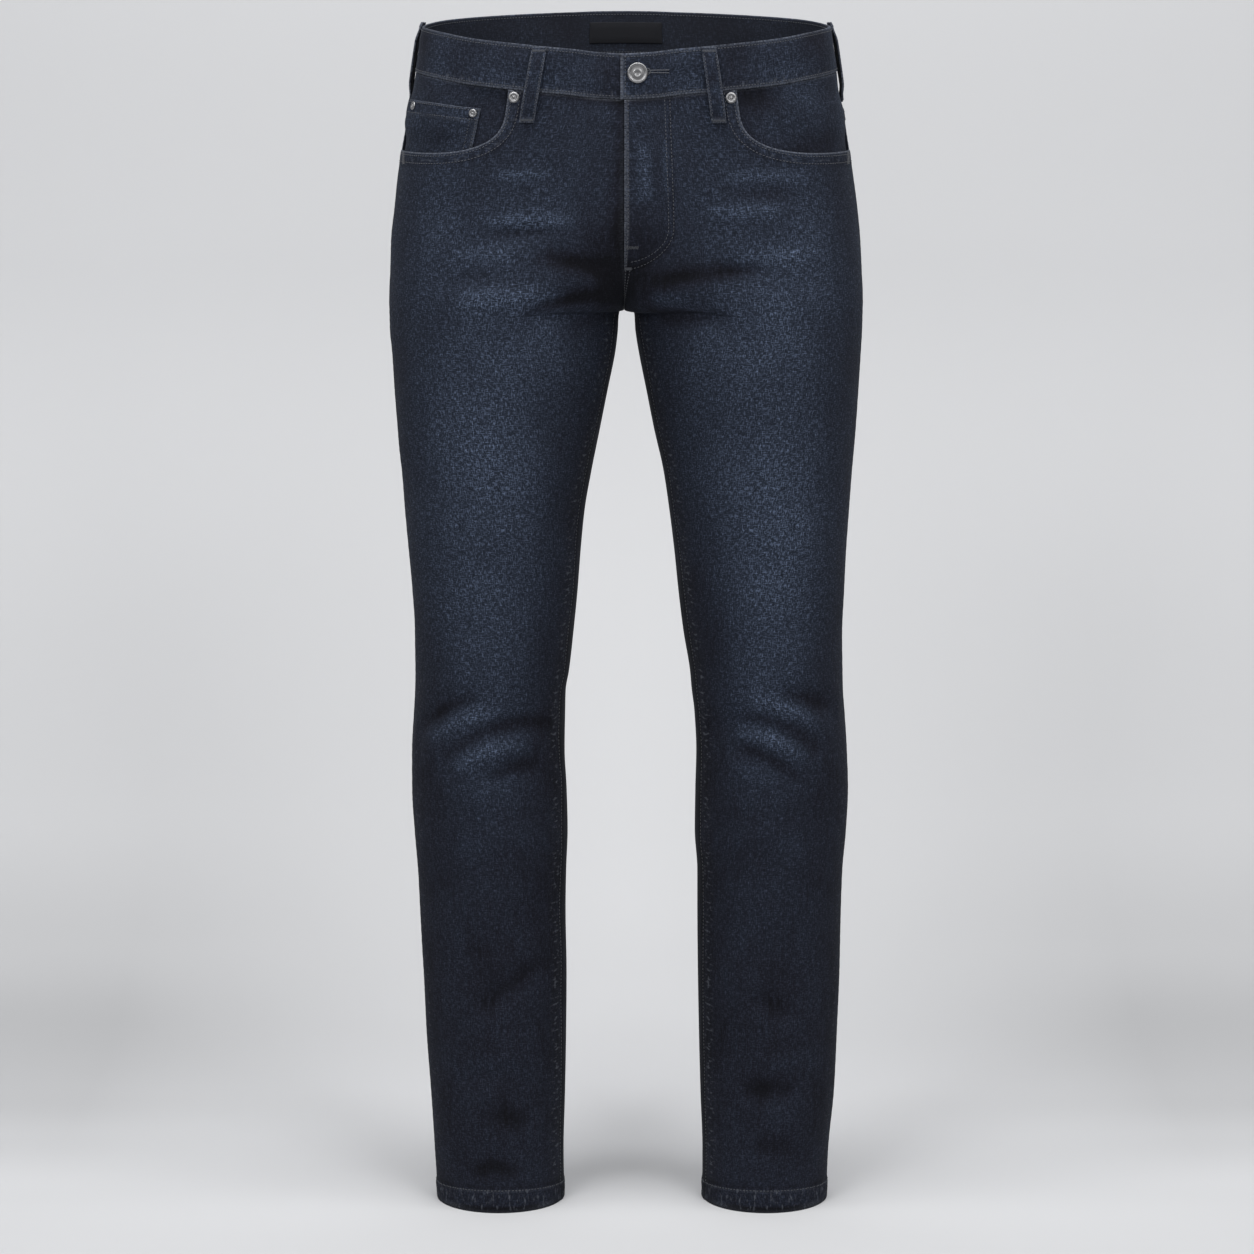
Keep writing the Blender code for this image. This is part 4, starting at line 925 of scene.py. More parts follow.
def at_lift(side, face, u, height, lift, tucked=False):
    """Points of the form moved out by lift, kept on their own side of the centre seam.

    A tucked piece runs on under its left neighbour, as the seam's turned-in edge does.
    """
    direction = normals(side, face, u, height)
    points = surface(side, face, u, height)
    clear = CENTRE_X + side * SEAM_GAP / 2
    points[..., 0] = side * np.maximum(side * points[..., 0], side * clear)
    share = 0 * u
    if tucked:
        from_centre = (1 - u) * panel_length(side, face, height)
        share = (1 - smooth(from_centre / 0.0042)) * smooth((height - TUCK_START) / 0.006)
    points = points + direction * (lift - TUCK_DEPTH * share)[..., None]
    points[..., 0] += TUCK_REACH * share
    return place(points)


def mesh_object(name, points, faces, material):
    """A smooth mesh in the scene, as its object."""
    mesh = bpy.data.meshes.new(name)
    mesh.from_pydata(points, [], faces)
    mesh.polygons.foreach_set("use_smooth", np.ones(len(faces), dtype=bool))
    mesh.materials.append(material)
    mesh.update()
    return linked(name, mesh)


def linked(name, data):
    """A new object in the scene that shows the data."""
    item = bpy.data.objects.new(name, data)
    bpy.context.scene.collection.objects.link(item)
    return item


def shell(name, outer, inner, looks, material, cut=None):
    """A closed cloth shell between two grids of points, with rounded edges.

    looks holds the cloth's coordinates and tones for each point of the grid: uv, fade, which is
    the worn tone with painted shade, marks, wear and rim, which is the wear on the rounded edge.
    """
    rows, columns = outer.shape[:2]
    count = rows * columns
    index = np.arange(count).reshape(rows, columns)
    quads = np.stack([index[:-1, :-1], index[:-1, 1:], index[1:, 1:], index[1:, :-1]], axis=-1)
    quads = quads.reshape(-1, 4) if cut is None else quads[~cut]
    top = outer.reshape(-1, 3).copy()
    low = inner.reshape(-1, 3).copy()
    thick = top - low
    side_a = top[quads[:, 2]] - top[quads[:, 0]]
    side_b = top[quads[:, 3]] - top[quads[:, 1]]
    if np.einsum("ij,ij->i", np.cross(side_a, side_b), thick[quads[:, 0]]).sum() < 0:
        quads = quads[:, ::-1]
    pairs = np.concatenate([quads[:, [k, (k + 1) % 4]] for k in range(4)])
    forward = pairs[:, 0] * count + pairs[:, 1]
    backward = pairs[:, 1] * count + pairs[:, 0]
    rim = pairs[~np.isin(forward, backward)]
    edge = np.unique(rim)
    push = np.zeros_like(top)
    tangent = np.zeros_like(top)
    centre = top[quads].mean(axis=1)
    for k in range(4):
        np.add.at(push, quads[:, k], top[quads[:, k]] - centre)
    run = top[rim[:, 1]] - top[rim[:, 0]]
    np.add.at(tangent, rim[:, 0], run)
    np.add.at(tangent, rim[:, 1], run)
    push, tangent, width = push[edge], tangent[edge], thick[edge]
    for line in (width, tangent):
        unit = line / np.maximum(np.linalg.norm(line, axis=1, keepdims=True), 1e-12)
        push = push - unit * np.einsum("ij,ij->i", push, unit)[:, None]
    push /= np.maximum(np.linalg.norm(push, axis=1, keepdims=True), 1e-12)
    half = np.linalg.norm(width, axis=1, keepdims=True) / 2
    top[edge] -= push * half
    low[edge] -= push * half
    middle = (top[edge] + low[edge]) / 2
    turns = np.linspace(0, math.pi, RIM_STEPS + 2)[1:-1]
    rings = [middle + width / 2 * math.cos(turn) + push * half * math.sin(turn) for turn in turns]
    points = np.concatenate([top, low] + rings)
    slot = np.full(count, -1)
    slot[edge] = np.arange(len(edge))
    levels = [np.arange(count)]
    for ring in range(RIM_STEPS):
        levels.append(2 * count + ring * len(edge) + slot)
    levels.append(count + np.arange(count))
    faces = [quads, quads[:, ::-1] + count]
    for near, far in zip(levels, levels[1:]):
        faces.append(np.stack([near[rim[:, 1]], near[rim[:, 0]], far[rim[:, 0]], far[rim[:, 1]]], axis=1))
    faces = np.concatenate(faces)
    used, flat = np.unique(faces, return_inverse=True)
    faces = flat.reshape(faces.shape)
    around = np.tile(edge, RIM_STEPS)
    uv = looks["uv"].reshape(-1, 2)
    fade, marks, wear, rim_wear = (looks[key].reshape(-1) for key in ("fade", "marks", "wear", "rim"))
    wear = np.maximum(wear, 0.0)
    on_edge = np.zeros(count)
    on_edge[edge] = EDGE_WEAR
    none = np.zeros(count)
    values = {
        "fade": (fade, fade, fade[around]),
        "wear": (np.maximum(wear, on_edge * rim_wear), none, rim_wear[around]),
        "reverse": (none, none + 1.0, none[around]),
        "marks": (marks, none, none[around]),
    }
    item = mesh_object(name, points[used].tolist(), faces.tolist(), material)
    mesh = item.data
    for label, parts in values.items():
        attribute = mesh.attributes.new(label, "FLOAT", "POINT")
        attribute.data.foreach_set("value", np.concatenate(parts)[used].astype(np.float32))
    corners = np.empty(len(mesh.loops), dtype=np.int32)
    mesh.loops.foreach_get("vertex_index", corners)
    corner_uv = np.concatenate([uv, uv, uv[around]])[used][corners]
    mesh.uv_layers.new(name="cloth").data.foreach_set("uv", corner_uv.astype(np.float32).ravel())
    mesh.update()
    return item


def looks_of(across, up, fade, wear=0.0, rim=0.0, marks=0.0):
    """The cloth's coordinates and tones, filled out to one shape.

    marks is how many rubbed pucker marks it has: above zero across, below zero up and down.
    """
    shape = np.broadcast(across, up, fade, wear, rim).shape
    across, up = np.broadcast_to(across, shape), np.broadcast_to(up, shape)
    looks = {"uv": np.stack([across, up], axis=-1)}
    for key, value in (("fade", fade), ("wear", wear), ("rim", rim), ("marks", marks)):
        looks[key] = np.broadcast_to(value, shape).astype(float)
    return looks


def sewn(node, outer, inner, looks, material, cut=None):
    """A cloth piece: its shell in its material, attached to the root body, with its node hidden."""
    item = shell(node + "_cloth", outer, inner, looks, material, cut)
    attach(item, "root")
    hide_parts(node)


def grid(start, end, columns, rows):
    """u and base height of a plain grid of points."""
    u = np.linspace(start, end, columns)[None, :] + 0 * rows[:, None]
    return u, rows[:, None] + 0 * u


def fine_rows():
    """Base heights of the legs' fine rows, close together at the hems."""
    hem = (0.0, 0.0032, 0.0056, 0.0080, 0.0104, 0.0124, 0.0134, 0.0140, 0.0147, 0.0156, 0.0170, 0.0195)
    crotch = (CROTCH_HEIGHT - 0.0003, CROTCH_HEIGHT + 0.0002)
    return np.sort(np.concatenate([hem, np.linspace(0.0225, 0.945, 292), crotch]))


def front_grid(side):
    """u, base height and left-out cells of a front panel's fine grid."""
    corner_base = SCOOP_CORNER
    bend = np.linspace(0.9475, corner_base, 11)
    above = np.linspace(corner_base, SIDE_SEAM_TOP, 25)[1:]
    rows = np.concatenate([fine_rows(), bend, above])
    edge_row = len(rows) - len(above) - 1
    base = rows[:, None]
    corner = np.where(base < corner_base, scoop_reach(side, corner_base), scoop_reach(side, base))
    left = np.linspace(0.0, 1.0, FINE_SCOOP_COLUMNS + 1)[None, :] * corner
    share = np.linspace(0.0, 1.0, FINE_COLUMNS - FINE_SCOOP_COLUMNS + 1)[None, 1:]
    u = np.concatenate([left, corner + (1 - corner) * share], axis=1)
    edge = np.full(u.shape[1], corner_base)
    edge[:FINE_SCOOP_COLUMNS] = scoop_base(side, u[edge_row, :FINE_SCOOP_COLUMNS])
    stretch = (edge - BEND_START) / (corner_base - BEND_START)
    bent = BEND_START + (base - BEND_START) * stretch[None, :]
    base = np.where((base > BEND_START) & (base <= corner_base), bent, base + 0 * u)
    cut = np.zeros((len(rows) - 1, FINE_COLUMNS), dtype=bool)
    cut[edge_row:, :FINE_SCOOP_COLUMNS] = True
    return u, hem_rows(FRONT, u, base), cut


def make_panel(side, face, u, base, cut, material):
    """A front or back panel of one leg."""
    height = row_height(face, u, base)
    height[-1] -= SEAM_GAP / 2
    u = inset_u(side, face, u, height, 1.0, 1.0)
    lift, tone, on_hem = dressed(side, face, u, height, base)
    thick = CLOTH + (HEM_THICK - CLOTH) * on_hem
    across = arc_length(side, face, u, height)
    marks = seam_bands(side, face, u, height)[2]
    line = hem_line(face, u)
    fold = line - HEM_LINE
    on_fold = smooth((line - base + 0.0012) / 0.0012) * smooth((base - fold + 0.001) / 0.001)
    marks = marks * smooth((base - line - 0.003) / 0.01) - HEM_MARKS * on_fold
    # Painted shade: dark below the hem's folded edge at the front, where the hem bows up
    tone = tone - 0.45 * (1 - smooth((base - fold) / 0.0012)) * smooth(fold / 0.002)
    # Painted shade: a dark line just above the hem's upper edge
    tone = tone - 0.12 * bell(base - line - 0.0025, 0.0016)
    wear = 0.30 * bell(base - fold - 0.0010, 0.0008) * smooth(fold / 0.003)
    wear = wear + 0.16 * bell(base - line + 0.0006, 0.0010)
    rim = np.full(u.shape, SEAM_WEAR)
    rim = np.where(base < 0.02, HEM_WEAR, rim)
    if face == FRONT:
        edge_u, edge_height = scoop_edge(side)
        edge_across = arc_length(side, face, edge_u, edge_height)
        top = height > SCOOP_BOTTOM - 0.03
        gap, _ = path_distance(across[top], height[top], edge_across, edge_height)
        near = np.full(u.shape, 1.0)
        near[top] = gap
        on_scoop = 1 - smooth((near - 0.0105) / 0.0025)
        roll = SCOOP_RISE * on_scoop
        groove = bell(near - 0.0095, 0.0016)
        lift = lift + roll - 0.00035 * groove
        # Painted shade in the groove beside the scoop's edge
        tone = tone - 0.14 * groove
        # Painted shade on the panel just below the waistband seam
        from_band = seam_height(FRONT, u) - height
        tone = tone - 0.28 * bell(from_band, 0.0035)
        marks = marks + 0.5 * bell(near - 0.0072, 0.0018)
        rim = np.where(near < 0.004, SCOOP_WEAR, rim)
        lift, tone, wear, rim = fly_fields(side, u, height, lift, tone, wear, rim)
        thick = thick + 0.0004 * on_scoop
    tucked = side == RIGHT
    outer = at_lift(side, face, u, height, lift, tucked)
    inner = at_lift(side, face, u, height, lift - thick, tucked)
    looks = looks_of(across, height, tone, wear, rim, marks)
    name = LEG_NAME[side]
    if face == FRONT:
        sewn("front_" + name, outer, inner, looks, material, cut)
    else:
        sewn("back_" + name, outer, inner, looks, material, cut)


def fly_fields(side, u, height, lift, tone, wear, rim):
    """The fly: its lap, the ridge of its J-shaped sewing with painted shade along it, its worn streaks, and
    painted shade beside the lap's edge and at the crotch.
    """
    from_centre = (1 - u) * panel_length(side, FRONT, height)
    on_fly = smooth((height - FLY_BOTTOM) / 0.02)
    if side == LEFT:
        lift = lift + fly_lap(from_centre) * on_fly
        x = CENTRE_X + from_centre
        path_x, path_z = fly_curve(FLY_OUTER)
        gap, _ = path_distance(x, height, path_x, path_z)
        lift = lift - 0.00035 * bell(gap, 0.0020)
        # Painted shade along the groove of the fly's sewing
        tone = tone - 0.16 * bell(gap, 0.0022)
        for x_line, low, high, width, strength in FLY_STREAKS:
            ends = smooth((height - low) / 0.012) * smooth((high - height) / 0.012)
            tone = tone + strength * bell(x - x_line, width) * ends
        rim = np.where((from_centre < 0.004) & (height > FLY_BOTTOM), FLY_WEAR, rim)
        wear = np.maximum(wear, 0.30 * bell(from_centre - 0.0006, 0.0008) * on_fly)
    else:
        lift = lift - 0.0004 * (1 - smooth(from_centre / 0.010)) * on_fly
        # Painted shade on the right panel beside the lap's edge
        tone = tone - 0.34 * bell(from_centre, 0.006)
    # Painted shade where the legs meet at the crotch
    crotch_shade = bell(height - 0.842, 0.030) * bell(from_centre, 0.045)
    return lift, tone - 0.30 * crotch_shade, wear, rim


def fly_lap(from_centre):
    """How far the fly's lap stands up, at a distance from the centre seam."""
    return FLY_RISE * (1 - smooth((from_centre - 0.004) / 0.034))


def fly_curve(x_line):
    """The J of the fly's sewing, x across the front view and z up from the hems."""
    turn = np.linspace(0.0, math.pi / 2, 10)
    reach = x_line - CENTRE_X
    x = CENTRE_X + reach * np.cos(turn) ** 0.9
    z = FLY_TURN - (FLY_TURN - FLY_BOTTOM - (FLY_OUTER - x_line)) * np.sin(turn)
    straight = np.linspace(1.0035, FLY_TURN, 12)[:-1]
    return np.concatenate([np.full(11, x_line), x]), np.concatenate([straight, z])


def make_legs(material):
    """The front and back panels of both legs."""
    rows = np.concatenate([fine_rows(), np.linspace(0.948, YOKE_SEAM, 14)])
    for side in (RIGHT, LEFT):
        u, base, cut = front_grid(side)
        make_panel(side, FRONT, u, base, cut, material)
        u, base = grid(0.0, 1.0, BACK_FINE_COLUMNS + 1, rows)
        make_panel(side, BACK, u, hem_rows(BACK, u, base), None, material)


def make_yokes(material):
    """The back yokes, each lapped over its panel with a felled seam."""
    for side in (RIGHT, LEFT):
        u, base = grid(0.0, 1.0, BACK_FINE_COLUMNS + 1, np.linspace(YOKE_SEAM, SIDE_SEAM_TOP, 22))
        height = row_height(BACK, u, base)
        height[0] += SEAM_GAP / 2
        height[-1] -= SEAM_GAP / 2
        u = inset_u(side, BACK, u, height, 1.0, 1.0)
        lift, tone, _ = dressed(side, BACK, u, height)
        up_seam = base - YOKE_SEAM
        felled = 1 - smooth((up_seam - 0.0095) / 0.003)
        lift = lift + FELL_RISE * felled
        across = arc_length(side, BACK, u, height)
        wear = 0.08 * bell(up_seam - 0.008, 0.002)
        tucked = side == RIGHT
        outer = at_lift(side, BACK, u, height, lift, tucked)
        inner = at_lift(side, BACK, u, height, lift - CLOTH, tucked)
        looks = looks_of(across, height, tone, wear, np.where(up_seam < 0.004, 0.35, SEAM_WEAR))
        sewn("yoke_" + LEG_NAME[side], outer, inner, looks, material)


def make_facings(material):
    """The facings behind the scoop pockets."""
    for side in (RIGHT, LEFT):
        name = LEG_NAME[side]
        rows = np.linspace(SCOOP_BOTTOM - FACING_BELOW, SIDE_SEAM_TOP, 34)
        u, base = grid(0.0, SCOOP_WIDTH[side] + FACING_BEYOND, 52, rows)
        height = row_height(FRONT, u, base)
        height[-1] -= SEAM_GAP / 2
        u = inset_u(side, FRONT, u, height, 1.0, 0.0)
        depth = facing_depth(side, u, base)
        across = arc_length(side, FRONT, u, height)
        soft = 0.0006 * waves(across, height, 51 + side, 0.035) * smooth(depth / 0.002) * 0.5
        outer = at_lift(side, FRONT, u, height, soft - depth)
        inner = at_lift(side, FRONT, u, height, soft - depth - CLOTH)
        # Painted shade: darker where the facing lies deep under the panel, in the pocket's recess
        tone = 0.48 + 0.10 * waves(across, height, 53 + side, 0.05) - 0.20 * smooth(depth / 0.003)
        looks = looks_of(across, height, tone, 0.0, SEAM_WEAR)
        sewn("facing_" + name, outer, inner, looks, material)


def make_coin_pocket(material):
    """The coin pocket on the right facing."""
    u, base = grid(COIN_OUTER, COIN_INNER, 34, np.linspace(COIN_BOTTOM, COIN_TOP, 26))
    share = (u - COIN_OUTER) / (COIN_INNER - COIN_OUTER)
    low = (COIN_TOP - base) / (COIN_TOP - COIN_BOTTOM)
    u = u - COIN_TAPER * low * share
    base = base + COIN_TOP_TILT * share * (1 - low)
    height = row_height(FRONT, u, base)
    across = arc_length(RIGHT, FRONT, u, height)
    top_gap = height.max(axis=0)[None, :] - height
    band = 1 - smooth((top_gap - 0.0115) / 0.0025)
    inner_gap = (u[:, -1:] - u) * panel_length(RIGHT, FRONT, height)
    lift = COIN_GAP - facing_depth(RIGHT, u, base) + 0.0003 * band
    lift = lift + 0.00025 * waves(across, height, 61, 0.02)
    outer = at_lift(RIGHT, FRONT, u, height, lift + COIN_THICK)
    inner = at_lift(RIGHT, FRONT, u, height, lift)
    wear = 0.16 * bell(top_gap - 0.0115, 0.0014)
    wear = np.maximum(wear, 0.10 * bell(inner_gap - 0.002, 0.0015))
    rim = np.where(top_gap < 0.003, 0.50, 0.40)
    tone = 0.50 + 0.08 * waves(across, height, 63, 0.04)
    looks = looks_of(across, height, tone, wear, rim)
    sewn("coin_pocket", outer, inner, looks, material)


def patch_form(side, u, base, share, floor):
    """Height, underside, pillow, distance from the edge, and the creases' wear and painted trough shade of a
    patch pocket's points.
    """
    height = row_height(BACK, u, base)
    fold, _ = crease_fields(side, BACK, u, height, FOLDS)
    fine, worn = crease_fields(side, BACK, u, height, CREASES)
    width = panel_length(side, BACK, height)
    gap = np.minimum(np.minimum(share, 1 - share) * (PATCH_INNER - PATCH_OUTER) * width,
                     np.minimum(base - floor, PATCH_TOP - base))
    hem = 1 - smooth((PATCH_TOP - base - PATCH_HEM) / 0.002)
    pillow = PATCH_PILLOW * smooth(gap / 0.022) + 0.0004 * hem
    return height, fold + fine + PATCH_GAP, pillow, gap, worn


def make_back_pockets(material):
    """The patch pockets on the back panels."""
    rows = np.linspace(PATCH_TOP - PATCH_DEPTH - PATCH_POINT, PATCH_TOP, 46)
    for side in (RIGHT, LEFT):
        name = LEG_NAME[side]
        u, base = grid(PATCH_OUTER, PATCH_INNER, 48, rows)
        share = (u - PATCH_OUTER) / (PATCH_INNER - PATCH_OUTER)
        low = np.minimum((PATCH_TOP - base) / PATCH_DEPTH, 1.0)
        u = u + PATCH_TAPER * low * (1 - 2 * share)
        floor = patch_floor(share)
        depth = (PATCH_TOP - base) / (PATCH_DEPTH + PATCH_POINT)
        base = PATCH_TOP - (PATCH_TOP - floor) * depth
        height, under, pillow, gap, worn = patch_form(side, u, base, share, floor)
        outer = at_lift(side, BACK, u, height, under + pillow + CLOTH)
        inner = at_lift(side, BACK, u, height, under)
        # The creases' wear and the painted shade of their troughs carry onto the pocket
        tone = cloth_tone(side, BACK, u, height) + worn + 0.10 * smooth(gap / 0.02)
        across = arc_length(side, BACK, u, height)
        looks = looks_of(across, height, tone, 0.10 * bell(gap - 0.0045, 0.003), 0.45)
        sewn("back_pocket_" + name, outer, inner, looks, material)


def patch_floor(share):
    """Base height of a patch pocket's pointed lower edge, from 0 at one side to 1 at the other."""
    return PATCH_TOP - PATCH_DEPTH - PATCH_POINT * (1 - np.abs(share * 2 - 1))


def band_coordinates(w, above):
    """Distance round the waistband and height on it."""
    return w * WAIST_QUARTER, above + 2.0


def make_waistband(material):
    """The waistband, lapped over itself at the front."""
    under = np.linspace(-BAND_UNDERLAP, BAND_STEP_END, 34)
    rest = np.linspace(BAND_STEP_END, 4 + BAND_OVERLAP, 330)[1:]
    w = np.concatenate([under, rest])[None, :]
    above = np.concatenate([[SEAM_GAP / 2, 0.0022], np.linspace(0.0045, BAND_HEIGHT - 0.0045, 15),
                            [BAND_HEIGHT - 0.0022, BAND_HEIGHT]])[:, None]
    across, up = band_coordinates(w + 0 * above, above + 0 * w)
    pucker = np.sin(2 * math.pi * (across / BAND_PUCKER_LENGTH + 0.6 * waves(across, above, 73, 0.05)))
    near_edge = bell(above - 0.005, 0.005) + bell(BAND_HEIGHT - above - 0.005, 0.004)
    lift = band_lift(w, above) + BAND_PUCKER * pucker * near_edge
    outer = round_waist(w, above, lift)
    inner = round_waist(w, above, BAND_PROUD - band_sink(w) - BAND_THICK)
    tone = 0.40 + 0.10 * waves(across, above * 0.4, 75, 0.06) + 0.12 * bell(above - 0.012, 0.010)
    wear = 0.36 * bell(above - 0.0014, 0.0010)
    wear = wear + 0.16 * bell(BAND_HEIGHT - above - 0.0030, 0.0012)
    ends = np.abs(w - (4 + BAND_OVERLAP)) * WAIST_QUARTER
    wear = np.maximum(wear, 0.65 * bell(ends, 0.0014) + 0 * wear)
    rim = 0.45 + 0.40 * (above < 0.003) + 0.25 * bell(ends, 0.004)
    marks = -0.5 * bell(above - 0.0050, 0.0020)
    looks = looks_of(across, up, tone, wear, rim, marks)
    sewn("waistband", outer, inner, looks, material)


def loop_grid(side, face, top_x, low_x, rows, columns):
    """u, height and standing lift of a belt loop's points."""
    down = np.linspace(0.0, 1.0, rows)[:, None]
    middle_x = top_x + (low_x - top_x) * down
    across = np.linspace(-LOOP_WIDTH / 2, LOOP_WIDTH / 2, columns)[None, :]
    length = BAND_HEIGHT + LOOP_BELOW_SEAM - LOOP_TOP_INSET
    seam_u = find_u(side, face, middle_x, SIDE_SEAM_TOP + 0 * middle_x)
    height = seam_height(face, seam_u) + BAND_HEIGHT - LOOP_TOP_INSET - down * length
    middle_u = find_u(side, face, middle_x, height)
    u = middle_u + across / cloth_rate(side, face, middle_u, height)
    stand = LOOP_STAND * smooth(down / LOOP_ARCH) * smooth((1 - down) / LOOP_ARCH)
    return down, across, u, height, BAND_PROUD + LOOP_GAP + stand, length


def make_loops(material):
    """The belt loops."""
    for name, side, face, top_x, low_x in BELT_LOOPS:
        down, across, u, height, lift, length = loop_grid(side, face, top_x, low_x, 46, 13)
        edge = np.abs(across) / (LOOP_WIDTH / 2)
        crown = 0.00035 * (1 - edge ** 4) - 0.00030 * bell(edge - 0.70, 0.10)
        ends = np.minimum(down, 1 - down) * length
        crown = crown + 0.0004 * bell(ends - 0.0035, 0.003)
        inner = wrapped(side, face, u, height, lift + 0 * u)
        outer = wrapped(side, face, u, height, lift + LOOP_THICK + crown)
        tone = 0.42 + 0.10 * waves(across * 3 + top_x * 9, down * 0.07, 81, 0.02)
        wear = 0.26 * bell(edge - 0.96, 0.08) + 0.40 * bell(ends - 0.0035, 0.0010)
        looks = looks_of(across + top_x, 3.0 - down * length, tone, wear, 0.60)
        sewn(name, outer, inner, looks, material)


def make_label(material):
    """The blank woven label inside the back of the waistband."""
    quarter = panel_length(RIGHT, BACK, np.array([SIDE_SEAM_TOP]))[0]
    half = LABEL_WIDTH / 2 / quarter
    middle = 2 + LABEL_SHIFT / quarter
    w = np.linspace(middle - half, middle + half, 40)[None, :]
    low = BAND_HEIGHT - LABEL_FROM_TOP - LABEL_HEIGHT
    above = np.linspace(low, low + LABEL_HEIGHT, 14)[:, None]
    across, up = band_coordinates(w + 0 * above, above + 0 * w)
    edge = np.minimum(np.minimum(w - w.min(), w.max() - w) * quarter,
                      np.minimum(above - low, low + LABEL_HEIGHT - above))
    face_lift = BAND_PROUD - BAND_THICK - LAYER_GAP
    bow = -0.0004 * smooth(edge / 0.005)
    outer = round_waist(w, above, face_lift)
    inner = round_waist(w, above, face_lift - LABEL_THICK + bow)
    looks = looks_of(across, up, 0.3, 0.0, 0.2)
    sewn("label", outer, inner, looks, material)


def face_frame(side, x, height, lift_at):
    """Middle point, outward direction and side direction of a small piece on the front."""
    spot = np.array([height])
    u = find_u(side, FRONT, np.array([x]), spot)
    step = SEAT_REACH / panel_length(side, FRONT, spot)
    near_u = u + step * np.array([0, 1, -1, 0, 0])
    near_height = height + SEAT_REACH * np.array([0, 0, 0, 1, -1])
    lift = fold_height(side, FRONT, near_u, near_height) + lift_at(near_u, near_height)
    points = at_lift(side, FRONT, near_u, near_height, lift)
    direction = Vector(np.cross(points[1] - points[2], points[3] - points[4]) * side * FRONT)
    return Vector(points[0]), direction.normalized()


def coin_lift(u, height):
    """How far a rivet on the coin pocket lies above the form."""
    base = height + 0 * u
    for _ in range(4):
        base = base + height - row_height(FRONT, u, base)
    return COIN_GAP + COIN_THICK + COIN_RIVET_GAP - facing_depth(RIGHT, u, base)


def turned_piece(name, profile, radius, seat, direction, material):
    """A turned metal piece from its finer profile, set on its seat."""
    heights = np.array([point[1] for point in profile])
    shares = np.array([point[0] for point in profile])
    key = np.arange(len(profile))
    fine = np.linspace(0, len(profile) - 1, (len(profile) - 1) * TURN_FINE + 1)
    shares = np.interp(fine, key, shares)
    heights = np.interp(fine, key, heights)
    kernel = np.array([0.25, 0.5, 0.25])
    for line in (shares, heights):
        for _ in range(2):
            line[1:-1] = np.convolve(line, kernel, mode="valid")
    shares[0] = shares[-1] = 0.0
    angle = np.linspace(0, 2 * math.pi, TURN_FINE_STEPS, endpoint=False)
    ring = np.stack([np.cos(angle), np.sin(angle)], axis=-1)
    points = [(0.0, 0.0, heights[0])]
    for share, height in zip(shares[1:-1], heights[1:-1]):
        points.extend((x * share * radius, y * share * radius, height) for x, y in ring)
    points.append((0.0, 0.0, heights[-1]))
    rings = len(shares) - 2
    last = len(points) - 1
    faces = []
    for step in range(TURN_FINE_STEPS):
        other = (step + 1) % TURN_FINE_STEPS
        faces.append((0, 1 + other, 1 + step))
        for level in range(rings - 1):
            start = 1 + level * TURN_FINE_STEPS
            over = start + TURN_FINE_STEPS
            faces.append((start + step, start + other, over + other, over + step))
        start = 1 + (rings - 1) * TURN_FINE_STEPS
        faces.append((start + step, start + other, last))
    turn = direction.to_track_quat("Z", "Y").to_matrix().to_4x4()
    place_all = Matrix.Translation(seat) @ turn
    return mesh_object(name, [place_all @ Vector(point) for point in points], faces, material)


def make_metal(material):
    """The button and the rivets."""
    on_band = face_frame(LEFT, BUTTON_X, BUTTON_HEIGHT, lambda u, height: BAND_PROUD + LAYER_GAP)
    seats = [("button", BUTTON_PROFILE, BUTTON_RADIUS, on_band)]
    for name, side, x, height, on_coin in RIVETS:
        radius = COIN_RIVET_RADIUS if on_coin else RIVET_RADIUS
        lift_at = coin_lift if on_coin else lambda u, height: LAYER_GAP
        seats.append((name, RIVET_PROFILE, radius, face_frame(side, x, height, lift_at)))
    for node, profile, radius, (seat, direction) in seats:
        item = turned_piece(node + "_metal", profile, radius, seat, direction, material)
        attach(item, "root")
        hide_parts(node)


# Nodes that lay stitches along lines, with their settings, and the links between them
STITCH_NODES = (
    ("enter", "NodeGroupInput", {}),
    ("leave", "NodeGroupOutput", {}),
    ("line", "GeometryNodeMeshToCurve", {}),
    ("step", "GeometryNodeResampleCurve", {"mode": "LENGTH"}),
    ("lay", "GeometryNodeInstanceOnPoints", {}),
    ("ball", "GeometryNodeMeshUVSphere", {}),
    ("size", "ShaderNodeCombineXYZ", {}),
    ("half", "ShaderNodeMath", {"operation": "MULTIPLY"}),
    ("tangent", "GeometryNodeInputTangent", {}),
    ("turn", "FunctionNodeAlignRotationToVector", {"axis": "Z"}),
    ("real", "GeometryNodeRealizeInstances", {}),
    ("soft", "GeometryNodeSetShadeSmooth", {}),
    ("paint", "GeometryNodeSetMaterial", {}),
)
STITCH_LINKS = (
    ("enter", "Geometry", "line", "Mesh"),
    ("line", "Curve", "step", "Curve"),
    ("enter", "Stitch pitch", "step", "Length"),
    ("step", "Curve", "lay", "Points"),
    ("ball", "Mesh", "lay", "Instance"),
    ("enter", "Thread radius", "size", "X"),
    ("enter", "Thread radius", "size", "Y"),
    ("enter", "Stitch length", "half", 0),
    ("half", "Value", "size", "Z"),
    ("size", "Vector", "lay", "Scale"),
    ("tangent", "Tangent", "turn", "Vector"),
    ("turn", "Rotation", "lay", "Rotation"),
    ("lay", "Instances", "real", "Geometry"),
    ("real", "Geometry", "soft", "Geometry"),
    ("soft", "Geometry", "paint", "Geometry"),
    ("enter", "Thread", "paint", "Material"),
    ("paint", "Geometry", "leave", "Geometry"),
)


